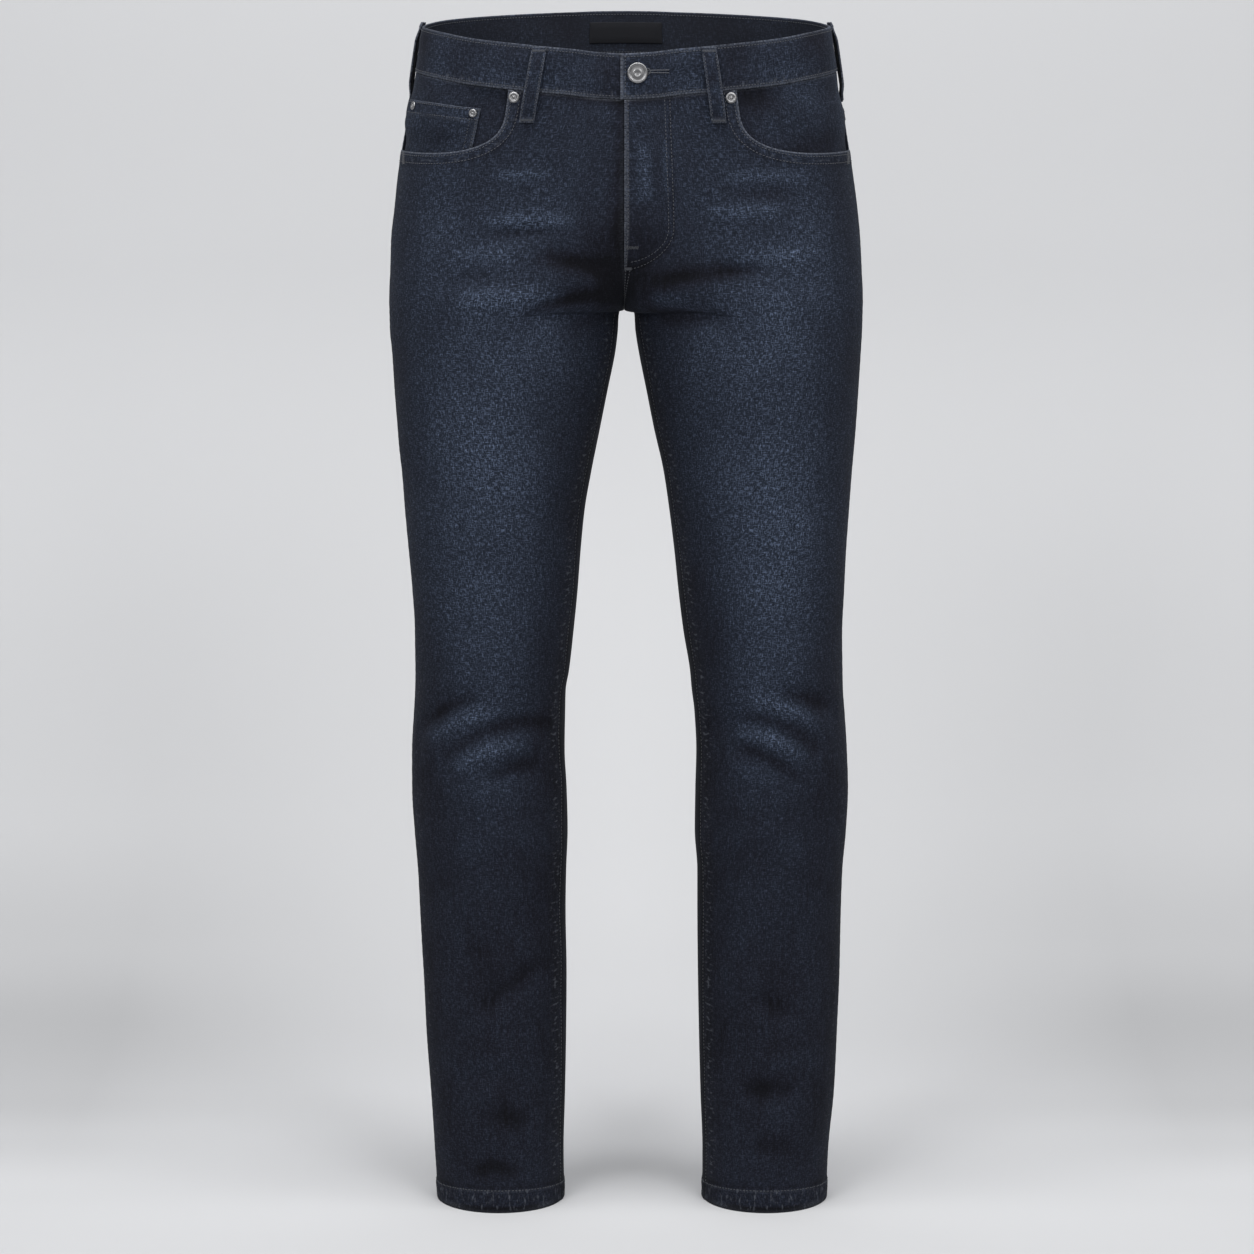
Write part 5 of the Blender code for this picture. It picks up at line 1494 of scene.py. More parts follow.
def stitch_tree(name):
    """Geometry nodes that lay stitches along lines. Named inputs give their sizes."""
    tree = bpy.data.node_groups.new(name, "GeometryNodeTree")
    face = tree.interface
    face.new_socket("Geometry", in_out="INPUT", socket_type="NodeSocketGeometry")
    for label, default in (("Stitch pitch", 0.0032), ("Stitch length", 0.0025), ("Thread radius", 0.0004)):
        socket = face.new_socket(label, in_out="INPUT", socket_type="NodeSocketFloat")
        socket.subtype = "DISTANCE"
        socket.default_value = default
    face.new_socket("Thread", in_out="INPUT", socket_type="NodeSocketMaterial")
    face.new_socket("Geometry", in_out="OUTPUT", socket_type="NodeSocketGeometry")
    nodes = {}
    for label, kind, settings in STITCH_NODES:
        nodes[label] = tree.nodes.new(kind)
        for key, value in settings.items():
            setattr(nodes[label], key, value)
    for key, value in (("Segments", 6), ("Rings", 5), ("Radius", 1.0)):
        nodes["ball"].inputs[key].default_value = value
    nodes["half"].inputs[1].default_value = 0.5
    for start, output, end, entry in STITCH_LINKS:
        tree.links.new(nodes[start].outputs[output], nodes[end].inputs[entry])
    return tree


def lay_stitches(name, lines, sizes, material):
    """Stitches along lines of points, turned into one plain mesh."""
    points, edges = [], []
    for line in lines:
        start = len(points)
        points.extend(line.tolist())
        edges.extend((start + step, start + step + 1) for step in range(len(line) - 1))
    mesh = bpy.data.meshes.new(name + "_lines")
    mesh.from_pydata(points, edges, [])
    guide = linked(name + "_lines", mesh)
    tree = bpy.data.node_groups.get("Stitches along lines") or stitch_tree("Stitches along lines")
    modifier = guide.modifiers.new("Stitches", "NODES")
    modifier.node_group = tree
    values = dict(zip(("Stitch pitch", "Stitch length", "Thread radius", "Thread"), (*sizes, material)))
    for socket in tree.interface.items_tree:
        if socket.in_out == "INPUT" and socket.name in values:
            modifier[socket.identifier] = values[socket.name]
    ready = guide.evaluated_get(bpy.context.evaluated_depsgraph_get())
    plain = bpy.data.meshes.new_from_object(ready)
    plain.name = name
    item = linked(name, plain)
    bpy.data.objects.remove(guide)
    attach(item, "root")
    return item


def leg_line(side, face, u, height, extra=0.0, base=None):
    """Points on a leg panel's dressed cloth."""
    u, height = np.broadcast_arrays(np.asarray(u, dtype=float), np.asarray(height, dtype=float))
    lift, _, _ = dressed(side, face, u, height, base)
    return at_lift(side, face, u.copy(), height, lift + extra)


def inset_line(side, face, height, from_inner):
    """u of the line that runs a distance in from a panel's inner edge."""
    return 1 - from_inner / panel_length(side, face, height)


def leg_stitches():
    """Lines of the inseams, outseams, hems, seat seam and crotch."""
    lines = []
    up = np.linspace(HEM_LINE + 0.003, CROTCH_HEIGHT - 0.004, 260)
    for side in (RIGHT, LEFT):
        inner_x = surface(side, FRONT, 0 * up + 1.0, up)[..., 0]
        u = find_u(side, FRONT, inner_x + side * seam_inset(up), up)
        lines.append(leg_line(side, FRONT, u, up, THREAD_SINK))
        across = np.linspace(0.004, 0.996, 60)
        for face in (FRONT, BACK):
            base = hem_line(face, across)
            height = row_height(face, across, base)
            lines.append(leg_line(side, face, across, height, THREAD_SINK, base))
    seat = np.linspace(CROTCH_HEIGHT + 0.006, YOKE_SEAM - YOKE_DROP - 0.001, 80)
    for gap in SEAT_LINES:
        lines.append(leg_line(LEFT, BACK, inset_line(LEFT, BACK, seat, gap), seat, THREAD_SINK + 0.0003))
    rise = np.linspace(CROTCH_HEIGHT + 0.004, FLY_BOTTOM - 0.002, 16)
    for gap in RISE_LINES:
        lines.append(leg_line(LEFT, FRONT, inset_line(LEFT, FRONT, rise, gap), rise, THREAD_SINK))
    return lines


def front_stitches():
    """Lines of the scoop pockets, the fly and the bar tacks' bases."""
    lines = []
    for side in (RIGHT, LEFT):
        edge_u, edge_height = scoop_edge(side)
        for gap in SCOOP_LINES:
            across = arc_length(side, FRONT, edge_u, edge_height)
            run = np.gradient(np.stack([across, edge_height], axis=-1), axis=0)
            run /= np.linalg.norm(run, axis=1, keepdims=True)
            off_across = across - gap * run[:, 1]
            off_height = edge_height + gap * run[:, 0]
            if off_height.mean() > edge_height.mean():
                off_across = across + gap * run[:, 1]
                off_height = edge_height - gap * run[:, 0]
            off_u = off_across / panel_length(side, FRONT, off_height)
            good = (off_height < seam_height(FRONT, off_u) - 0.001) & (off_u > 0.002)
            lines.append(leg_line(side, FRONT, off_u[good], off_height[good], SCOOP_RISE + THREAD_SINK))
    for x_line in (FLY_OUTER, FLY_INNER):
        path_x, path_z = fly_curve(x_line)
        inside = path_x > CENTRE_X + 0.003
        path_x, path_z = path_x[inside], path_z[inside]
        u = 1 - (path_x - CENTRE_X) / panel_length(LEFT, FRONT, path_z)
        lines.append(leg_line(LEFT, FRONT, u, path_z, fly_lap(path_x - CENTRE_X) + THREAD_SINK))
    edge = np.linspace(FLY_BOTTOM + 0.004, 1.0035, 60)
    u = inset_line(LEFT, FRONT, edge, 0.0022)
    lines.append(leg_line(LEFT, FRONT, u, edge, FLY_RISE + THREAD_SINK))
    return lines


def coin_stitches():
    """Lines of the coin pocket."""
    lines = []
    share = np.linspace(0.03, 0.97, 30)
    for gap in COIN_TOP_LINES:
        base = COIN_TOP + COIN_TOP_TILT * share - gap
        low = (COIN_TOP - base) / (COIN_TOP - COIN_BOTTOM)
        u = COIN_OUTER + (COIN_INNER - COIN_OUTER) * share - COIN_TAPER * low * share
        lines.append(coin_line(u, base))
    base = np.linspace(COIN_TOP + COIN_TOP_TILT - 0.002, COIN_BOTTOM + 0.004, 30)
    low = (COIN_TOP - base) / (COIN_TOP - COIN_BOTTOM)
    for gap in COIN_SIDE_LINES:
        u = COIN_INNER - COIN_TAPER * low - gap / 0.19
        lines.append(coin_line(u, base))
    return lines


def coin_line(u, base):
    """Points on the coin pocket's face."""
    height = row_height(FRONT, u, base)
    lift = COIN_GAP + COIN_THICK + 0.0003 - facing_depth(RIGHT, u, base) + THREAD_SINK
    return at_lift(RIGHT, FRONT, u, height, lift)


def back_stitches():
    """Lines of the yokes and the patch pockets."""
    lines = []
    for side in (RIGHT, LEFT):
        across = np.linspace(0.006, 0.994, 60)
        for gap in YOKE_LINES:
            base = np.full(across.shape, YOKE_SEAM + gap)
            height = row_height(BACK, across, base)
            lines.append(leg_line(side, BACK, across, height, FELL_RISE + THREAD_SINK))
        for gap in PATCH_LINES:
            lines.append(patch_outline(side, gap))
        share = np.linspace(0.03, 0.97, 30)
        base = np.full(share.shape, PATCH_TOP - 0.0120)
        lines.append(patch_line(side, share, base))
    return lines


def patch_line(side, share, base):
    """Points on a patch pocket's face."""
    low = np.minimum((PATCH_TOP - base) / PATCH_DEPTH, 1.0)
    u = PATCH_OUTER + (PATCH_INNER - PATCH_OUTER) * share + PATCH_TAPER * low * (1 - 2 * share)
    height, under, pillow, _, _ = patch_form(side, u, base, share, patch_floor(share))
    return at_lift(side, BACK, u, height, under + pillow + CLOTH + THREAD_SINK)


def patch_outline(side, gap):
    """A line round a patch pocket's sides and point, a distance in from its edge."""
    width = (PATCH_INNER - PATCH_OUTER) * 0.19
    inset = gap / width
    top, corner = PATCH_TOP - 0.001, PATCH_TOP - PATCH_DEPTH
    point = corner - PATCH_POINT + gap * 1.05
    corner = corner + gap * 0.6
    down = np.linspace(top, corner, 40)
    share = np.concatenate([np.full(40, inset), np.linspace(inset, 0.5, 16)[1:],
                            np.linspace(0.5, 1 - inset, 16)[1:], np.full(39, 1 - inset)])
    base = np.concatenate([down, np.linspace(corner, point, 16)[1:],
                           np.linspace(point, corner, 16)[1:], down[::-1][1:]])
    return patch_line(side, share, base)


def band_lift(w, above):
    """Lift of the waistband's dressed face."""
    across, _ = band_coordinates(w, above)
    pillow = 0.00045 * smooth((above - 0.004) / 0.008) * smooth((BAND_HEIGHT - above - 0.005) / 0.008)
    ripple = 0.00040 * waves(across, above * 1.5, 71, 0.05)
    return BAND_PROUD - band_sink(w) + pillow + ripple


def band_stitches():
    """Lines along the waistband's edges, outside and inside, and its lapped end."""
    lines = []
    w = np.linspace(BAND_OVERLAP + 0.02, 4 + BAND_OVERLAP - BAND_END_LINE, 420)
    for above in (BAND_LINE, BAND_HEIGHT - BAND_LINE):
        level = np.full(w.shape, above)
        lines.append(round_waist(w, level, band_lift(w, level) + THREAD_SINK))
        inner_lift = BAND_PROUD - band_sink(w) - BAND_THICK - THREAD_SINK
        lines.append(round_waist(w, level, inner_lift + 0 * w))
    up = np.linspace(BAND_LINE, BAND_HEIGHT - BAND_LINE, 16)
    end = np.full(up.shape, 4 + BAND_OVERLAP - BAND_END_LINE)
    lines.append(round_waist(end, up, band_lift(end, up) + THREAD_SINK))
    return lines


def loop_stitches():
    """Lines along both edges of each belt loop."""
    lines = []
    for _, side, face, top_x, low_x in BELT_LOOPS:
        _, across, u, height, lift, _ = loop_grid(side, face, top_x, low_x, 40, 9)
        for column in (1, 7):
            edge = np.abs(across[0, column]) / (LOOP_WIDTH / 2)
            crown = 0.00035 * (1 - edge ** 4) - 0.00020
            points = wrapped(side, face, u, height, lift + LOOP_THICK + crown)
            lines.append(points[2:-2, column])
    return lines


def tack(side, face, x, height, length, tilt, lift, zigs=9):
    """The zigzag of a bar tack about a middle point on a leg panel."""
    share = np.linspace(-0.5, 0.5, zigs * 2 + 1)
    swing = np.where(np.arange(len(share)) % 2 == 0, 0.5, -0.5) * TACK_WIDTH
    run_x, run_z = math.cos(tilt), math.sin(tilt)
    x_line = x + share * length * run_x - swing * run_z
    z_line = height + share * length * run_z + swing * run_x
    u = find_u(side, face, x_line, z_line)
    return leg_line(side, face, u, z_line, lift)


def bar_tacks():
    """Bar tacks at the pocket ends, the fly and the ends of the belt loops."""
    lines = [
        tack(RIGHT, FRONT, -0.1985, 0.9530, 0.011, math.pi / 2, 0.0004),
        tack(LEFT, FRONT, 0.1965, 0.9530, 0.011, math.pi / 2, 0.0004),
        tack(LEFT, FRONT, 0.0042, 0.8765, 0.012, 0.0, FLY_RISE + 0.0005),
        tack(LEFT, FRONT, 0.0010, 0.8575, 0.006, 0.0, 0.0008),
    ]
    for _, side, face, top_x, low_x in BELT_LOOPS:
        _, _, u, height, lift, _ = loop_grid(side, face, top_x, low_x, 46, 23)
        for row in (2, 43):
            zig = np.arange(23)
            rows = row + np.where(zig % 2 == 0, 0, 1)
            points = wrapped(side, face, u, height, lift + LOOP_THICK + 0.0006)
            lines.append(points[rows, zig][2:-2])
    return lines


def buttonhole_lines():
    """The keyhole buttonhole's edge, worked round with thread."""
    turn = np.linspace(0.35, 2 * math.pi - 0.35, 22)
    eye = 0.0026
    far = [BUTTON_X + 0.0270]
    x = np.concatenate([far, BUTTON_X + 0.0085 - eye * np.cos(turn), far])
    z = np.concatenate([[0.0012], eye * np.sin(turn), [-0.0012]]) + BUTTON_HEIGHT + 0.0012
    w = 3 + find_u(LEFT, FRONT, x, z)
    above = z - seam_height(FRONT, w - 3)
    return [round_waist(w, above, band_lift(w, above) + 0.0003)]


def make_stitches(thread, worn_thread):
    """All the sewing that shows."""
    look = bpy.context.scene.jeans_stitching
    sizes = (look.pitch, look.length, look.radius)
    fine = (look.pitch * 0.85, look.length * 0.85, look.radius * 0.9)
    for name, lines, stitch, material, slot_name in (
        ("leg_stitches", leg_stitches, sizes, thread, "denim"),
        ("front_stitches", front_stitches, sizes, thread, "denim"),
        ("coin_stitches", coin_stitches, fine, thread, "facing_denim"),
        ("back_stitches", back_stitches, sizes, thread, "denim"),
        ("band_stitches", band_stitches, fine, thread, "waistband_denim"),
        ("loop_stitches", loop_stitches, fine, thread, "waistband_denim"),
        ("bar_tacks", bar_tacks, TACK_STITCHES, worn_thread, "denim"),
        ("buttonhole_thread", buttonhole_lines, BUTTONHOLE_STITCHES, thread, "waistband_denim"),
    ):
        lay_stitches(name, lines(), stitch, material)


class Paint:
    """A material's nodes, made and linked by short calls."""

    def __init__(self, name):
        self.material = bpy.data.materials.new(name)
        self.material.use_nodes = True
        self.nodes = self.material.node_tree.nodes
        self.links = self.material.node_tree.links
        self.shader = self.nodes["Principled BSDF"]

    def add(self, kind, settings=None, **inputs):
        """A node of a kind, with its settings, its inputs' values or links by name."""
        node = self.nodes.new(kind)
        for key, value in (settings or {}).items():
            setattr(node, key, value)
        for key, value in inputs.items():
            self.join(node.inputs[key.replace("_", " ")], value)
        return node

    def join(self, socket, value):
        """Link a socket to another, or set its value."""
        if isinstance(value, bpy.types.NodeSocket):
            self.links.new(value, socket)
        else:
            socket.default_value = value

    def shade(self, **inputs):
        """Set or link the shader's inputs by name."""
        for key, value in inputs.items():
            self.join(self.shader.inputs[key.replace("_", " ")], value)

    def math(self, operation, first, second=0.0, clamp=False):
        """The result of a sum on two values."""
        node = self.nodes.new("ShaderNodeMath")
        node.operation = operation
        node.use_clamp = clamp
        self.join(node.inputs[0], first)
        self.join(node.inputs[1], second)
        return node.outputs["Value"]

    def about_zero(self, value, strength):
        """A value from 0 to 1, turned to run as far below zero as above it."""
        shifted = self.math("SUBTRACT", value, 0.5)
        return self.math("MULTIPLY", shifted, strength)

    def above(self, value, level, strength):
        """How far a value is above a level, times a strength, and nothing below it."""
        return self.math("MAXIMUM", self.math("MULTIPLY", self.math("SUBTRACT", value, level), strength), 0.0)

    def mix(self, factor, first, second, blend="MIX"):
        """Two colours mixed."""
        node = self.nodes.new("ShaderNodeMix")
        node.data_type = "RGBA"
        node.blend_type = blend
        self.join(node.inputs["Factor"], factor)
        self.join(node.inputs[6], first)
        self.join(node.inputs[7], second)
        return node.outputs[2]

    def attribute(self, name):
        """A value that the mesh carries."""
        node = self.nodes.new("ShaderNodeAttribute")
        node.attribute_name = name
        return node.outputs["Fac"]

    def noise(self, vector, scale, detail=2.0, rough=0.5):
        """Noise from 0 to 1."""
        settings = {"Scale": scale, "Detail": detail, "Roughness": rough, "Vector": vector}
        return self.add("ShaderNodeTexNoise", None, **settings).outputs["Fac"]

    def stretched(self, vector, across, up):
        """Coordinates scaled differently across and along the cloth."""
        node = self.add("ShaderNodeMapping", {"vector_type": "POINT"}, Vector=vector)
        node.inputs["Scale"].default_value = (across, up, 1.0)
        return node.outputs["Vector"]

    def bump(self, height, strength, distance, normal=None):
        """A bump from a height."""
        node = self.add("ShaderNodeBump", None, Height=height, Strength=strength, Distance=distance)
        if normal is not None:
            self.join(node.inputs["Normal"], normal)
        return node.outputs["Normal"]


def linear(colour):
    """A colour of three shares with full alpha."""
    return (colour[0], colour[1], colour[2], 1.0)


def denim(name, look):
    """Indigo twill: worn tone with painted shade, clouding, warp streaks, rubbed specks and the twill's ribs.
    """
    paint = Paint(name)
    uv = paint.add("ShaderNodeUVMap", {"uv_map": "cloth"}).outputs["UV"]
    # fade carries the worn tone with the painted shade of troughs, grooves and recesses
    fade = paint.attribute("fade")
    wear = paint.attribute("wear")
    reverse = paint.attribute("reverse")
    cloud = paint.noise(paint.stretched(uv, 26.0, 16.0), 1.0, 5.0, 0.60)
    streak = paint.noise(paint.stretched(uv, 330.0, 34.0), 1.0, 3.0, 0.60)
    warp = paint.noise(paint.stretched(uv, 1000.0, 240.0), 1.0, 2.0, 0.55)
    weft = paint.noise(paint.stretched(uv, 260.0, 1000.0), 1.0, 2.0, 0.55)
    speck = paint.noise(paint.stretched(uv, 820.0, 760.0), 1.0, 1.0, 0.50)
    coarse = paint.noise(paint.stretched(uv, 300.0, 120.0), 1.0, 2.0, 0.60)

    tone = paint.math("ADD", fade, paint.about_zero(cloud, look.cloud))
    tone = paint.math("ADD", tone, paint.about_zero(streak, look.streak), clamp=True)
    # The lowest stop, deep, is painted shade in troughs, grooves and recesses, and the darkest unworn cloth
    ramp = paint.add("ShaderNodeValToRGB", None, Fac=tone)
    ramp.color_ramp.elements[0].position = 0.0
    ramp.color_ramp.elements[0].color = linear(look.deep)
    ramp.color_ramp.elements[1].position = 1.0
    ramp.color_ramp.elements[1].color = linear(look.pale)
    for position, tint_at in ((0.20, look.dark), (0.55, look.middle)):
        element = ramp.color_ramp.elements.new(position)
        element.color = linear(tint_at)

    heather = paint.math("ADD", paint.above(warp, 0.52, look.warp), paint.above(weft, 0.52, look.weft))
    heather = paint.math("ADD", heather, paint.above(speck, 0.60, look.fleck))
    heather = paint.math("ADD", heather, paint.about_zero(coarse, look.grain))
    heather = paint.math("SUBTRACT", heather, look.ground)
    strength = paint.math("ADD", paint.math("MULTIPLY", tone, 0.62), 0.38)
    heather = paint.math("MULTIPLY", heather, strength)
    heather = paint.math("MAXIMUM", paint.math("ADD", heather, 1.0), 0.25)
    scale = paint.add("ShaderNodeVectorMath", {"operation": "MULTIPLY"})
    paint.join(scale.inputs[0], ramp.outputs["Color"])
    paint.join(scale.inputs[1], heather)
    colour = scale.outputs["Vector"]

    level = paint.noise(paint.stretched(uv, 150.0, 340.0), 1.0, 1.0, 0.5)
    upright = paint.noise(paint.stretched(uv, 340.0, 120.0), 1.0, 2.0, 0.6)
    for marks_noise, sign in ((level, 1.0), (upright, -1.0)):
        amount_here = paint.math("MULTIPLY", paint.attribute("marks"), sign, clamp=True)
        spots = paint.math("MULTIPLY", paint.math("SUBTRACT", marks_noise, 0.56), 6.0, clamp=True)
        spots = paint.math("MULTIPLY", paint.math("MULTIPLY", spots, amount_here), look.marks)
        colour = paint.mix(spots, colour, linear(look.worn))

    rubbed = paint.math("MULTIPLY", paint.math("SUBTRACT", speck, 0.35), 2.2)
    rubbed = paint.math("ADD", rubbed, 0.15, clamp=True)
    worn = paint.math("MULTIPLY", wear, rubbed, clamp=True)
    colour = paint.mix(worn, colour, linear(look.worn))
    colour = paint.mix(paint.math("MULTIPLY", reverse, 0.55), colour, linear(look.reverse))
    paint.shade(Base_Color=colour, Roughness=0.88, Specular_IOR_Level=look.gloss)
    paint.shade(Sheen_Weight=look.sheen, Sheen_Roughness=0.55, Sheen_Tint=(0.62, 0.70, 0.85, 1.0))

    turn = paint.add("ShaderNodeMapping", {"vector_type": "POINT"}, Vector=uv)
    turn.inputs["Rotation"].default_value = (0.0, 0.0, math.radians(63.0))
    rib = paint.add("ShaderNodeTexWave", {"wave_type": "BANDS", "bands_direction": "X"},
                    Vector=turn.outputs["Vector"], Scale=math.pi / 10 / look.twill,
                    Distortion=2.2, Detail=2.0)
    rib.inputs["Detail Scale"].default_value = 900.0
    weave = paint.bump(rib.outputs["Fac"], 0.35, 0.00012)
    slub = paint.bump(coarse, 0.5, 0.00035, weave)
    paint.shade(Normal=paint.bump(streak, 0.35, 0.00030, slub))
    return paint.material


def thread_paint(name, colour):
    """Sewing thread."""
    paint = Paint(name)
    spot = paint.add("ShaderNodeTexCoord").outputs["Object"]
    shade = paint.noise(spot, 260.0, 2.0, 0.6)
    dull = tuple(0.62 * part for part in colour)
    paint.shade(Base_Color=paint.mix(shade, linear(dull), linear(colour)), Roughness=0.62)
    paint.shade(Sheen_Weight=0.15)
    twist = paint.noise(spot, 2600.0, 1.0, 0.5)
    paint.shade(Normal=paint.bump(twist, 0.4, 0.0001))
    return paint.material


def metal_paint(look):
    """Antiqued nickel: bright rubbed edges, dark in the hollows."""
    paint = Paint("antique_nickel")
    spot = paint.add("ShaderNodeTexCoord").outputs["Object"]
    geometry = paint.add("ShaderNodeNewGeometry")
    edge = paint.add("ShaderNodeValToRGB", None, Fac=geometry.outputs["Pointiness"])
    edge.color_ramp.elements[0].position = 0.44
    edge.color_ramp.elements[0].color = linear(look.metal_dark)
    edge.color_ramp.elements[1].position = 0.56
    edge.color_ramp.elements[1].color = linear(look.metal)
    stain = paint.noise(spot, 900.0, 3.0, 0.6)
    stained = paint.mix(paint.math("MULTIPLY", stain, 0.5), edge.outputs["Color"], linear(look.metal_dark))
    paint.shade(Base_Color=stained, Metallic=1.0)
    rough = paint.math("MULTIPLY_ADD", stain, 0.18)
    rough.node.inputs[2].default_value = 0.26
    paint.shade(Roughness=rough, Normal=paint.bump(stain, 0.15, 0.0001))
    return paint.material


def label_paint(look):
    """Black damask of the blank label."""
    paint = Paint("label_damask")
    uv = paint.add("ShaderNodeUVMap", {"uv_map": "cloth"}).outputs["UV"]
    rib = paint.add("ShaderNodeTexWave", {"wave_type": "BANDS", "bands_direction": "Y"}, Vector=uv,
                    Scale=700.0, Distortion=0.4, Detail=1.0)
    grain = paint.noise(uv, 1400.0, 2.0, 0.5)
    pale = linear(tuple(1.5 * part for part in look.label))
    colour = paint.mix(paint.math("MULTIPLY", grain, 0.6), linear(look.label), pale)
    paint.shade(Base_Color=colour, Roughness=0.70, Specular_IOR_Level=0.12)
    paint.shade(Normal=paint.bump(rib.outputs["Fac"], 0.4, 0.00015))
    return paint.material


def area_light(name, spot, aim, width, height, power, colour):
    """A soft area light aimed at a point."""
    light = bpy.data.lights.new(name, "AREA")
    light.shape = "RECTANGLE"
    light.size = width
    light.size_y = height
    light.energy = power
    light.color = colour
    item = bpy.data.objects.new(name, light)
    item.location = spot
    item.rotation_euler = (Vector(aim) - Vector(spot)).to_track_quat("-Z", "Y").to_euler()
    bpy.context.scene.collection.objects.link(item)
    return item


def paper_material(look):
    """Pale seamless paper, with painted shade where it turns up into the wall, painted light in the middle,
    and a painted shadow with a pale painted glow between the hems.

    Its back is clear, so that the jeans can be looked at from behind.
    """
    paint = Paint("studio_paper")
    spot = paint.add("ShaderNodeTexCoord").outputs["Object"]
    split = paint.add("ShaderNodeSeparateXYZ", None, Vector=spot)
    side = paint.math("MULTIPLY", split.outputs["X"], split.outputs["X"])
    side = paint.math("DIVIDE", side, SHADE_SIDE, clamp=True)
    run = paint.math("ADD", split.outputs["Y"], split.outputs["Z"])
    start, end = PAPER_LIGHT_AND_SHADE[0][0], PAPER_LIGHT_AND_SHADE[-1][0]
    run = paint.math("DIVIDE", paint.math("ADD", run, WAIST_HEIGHT - start), end - start, clamp=True)
    painted_light_ramps = []
    # Each ramp paints light and shade on the paper along its run: one for the middle, one for the sides
    for column in (1, 2):
        ramp = paint.add("ShaderNodeValToRGB", None, Fac=run)
        ramp.color_ramp.interpolation = "EASE"
        for row in PAPER_LIGHT_AND_SHADE[1:-1]:
            ramp.color_ramp.elements.new((row[0] - start) / (end - start))
        for stop, row in zip(ramp.color_ramp.elements, PAPER_LIGHT_AND_SHADE):
            stop.color = linear(tuple(part * row[column] for part in look.paper))
        painted_light_ramps.append(ramp.outputs["Color"])
    painted_paper = paint.mix(side, *painted_light_ramps)
    from_painted_shadow = paint.add("ShaderNodeVectorMath", {"operation": "DISTANCE"})
    paint.join(from_painted_shadow.inputs[0], spot)
    from_painted_shadow.inputs[1].default_value = (*PAINTED_SHADOW_PLACE, -WAIST_HEIGHT)
    # A painted shadow darkens the paper round the spot between the hems, and a painted glow brightens it
    # further out
    painted_shadow_and_glow = 1.0
    for reach, strength in ((PAINTED_SHADOW_SIZE, -PAINTED_SHADOW_DEPTH), (PAINTED_GLOW_SIZE, PAINTED_GLOW)):
        share = paint.math("DIVIDE", from_painted_shadow.outputs["Value"], reach)
        share = paint.math("EXPONENT", paint.math("MULTIPLY", paint.math("MULTIPLY", share, share), -1.0))
        share = paint.math("ADD", paint.math("MULTIPLY", share, strength), 1.0)
        painted_shadow_and_glow = paint.math("MULTIPLY", share, painted_shadow_and_glow)
    scale = paint.add("ShaderNodeVectorMath", {"operation": "SCALE"})
    paint.join(scale.inputs[0], painted_paper)
    paint.join(scale.inputs["Scale"], painted_shadow_and_glow)
    paint.shade(Base_Color=scale.outputs["Vector"], Roughness=0.92, Specular_IOR_Level=0.1)
    clear = paint.add("ShaderNodeBsdfTransparent")
    sides = paint.add("ShaderNodeMixShader")
    paint.join(sides.inputs["Fac"], paint.add("ShaderNodeNewGeometry").outputs["Backfacing"])
    paint.join(sides.inputs[1], paint.shader.outputs["BSDF"])
    paint.join(sides.inputs[2], clear.outputs["BSDF"])
    paint.join(paint.nodes["Material Output"].inputs["Surface"], sides.outputs["Shader"])
    return paint.material


def make_studio(look):
    """Floor, sweep and backdrop in one sheet, with lights, world and camera."""
    turn = np.linspace(0.0, math.pi / 2, SWEEP_STEPS)
    floor_y = np.linspace(FLOOR_FRONT, SWEEP_START, 24)
    line = [(y, 0.0) for y in floor_y]
    line += [(SWEEP_START + SWEEP_RADIUS * math.sin(t), SWEEP_RADIUS * (1 - math.cos(t))) for t in turn[1:]]
    line += [(SWEEP_START + SWEEP_RADIUS, z) for z in np.linspace(SWEEP_RADIUS, WALL_TOP, 10)[1:]]
    points, faces = [], []
    for index, (y, z) in enumerate(line):
        points.append((-STUDIO_HALF, y, z - WAIST_HEIGHT))
        points.append((STUDIO_HALF, y, z - WAIST_HEIGHT))
        if index:
            start = 2 * index - 2
            faces.append((start, start + 1, start + 3, start + 2))
    scene = bpy.context.scene
    mesh_object("studio_sweep", points, faces, paper_material(look))

    for name, spot, aim, width, height, power, colour in LIGHTS:
        area_light(name, spot, aim, width, height, power * look.light, colour)
    world = bpy.data.worlds.new("studio_air")
    world.use_nodes = True
    background = world.node_tree.nodes["Background"]
    background.inputs["Color"].default_value = linear(AIR_COLOUR)
    background.inputs["Strength"].default_value = AIR_STRENGTH * look.light
    scene.world = world

    camera = bpy.data.cameras.new("photo_camera")
    camera.sensor_width = SENSOR_WIDTH
    camera.lens = look.lens
    item = bpy.data.objects.new("photo_camera", camera)
    item.location = (0.0, -look.distance, look.camera_height - WAIST_HEIGHT)
    item.rotation_euler = (math.pi / 2 - look.pitch, 0.0, 0.0)
    scene.collection.objects.link(item)
    scene.camera = item
    scene.view_settings.view_transform = "Standard"


def tint(label, words, default):
    """A colour setting."""
    return bpy.props.FloatVectorProperty(
        name=label, description=words, default=default, subtype="COLOR", size=3, min=0.0, max=1.0)


def amount(label, words, default, top=1.0):
    """A plain share."""
    return bpy.props.FloatProperty(
        name=label, description=words, default=default, min=0.0, max=top, subtype="FACTOR")


def size(label, words, default):
    """A length in metres."""
    return bpy.props.FloatProperty(
        name=label, description=words, default=default, min=0.0, unit="LENGTH", precision=5)


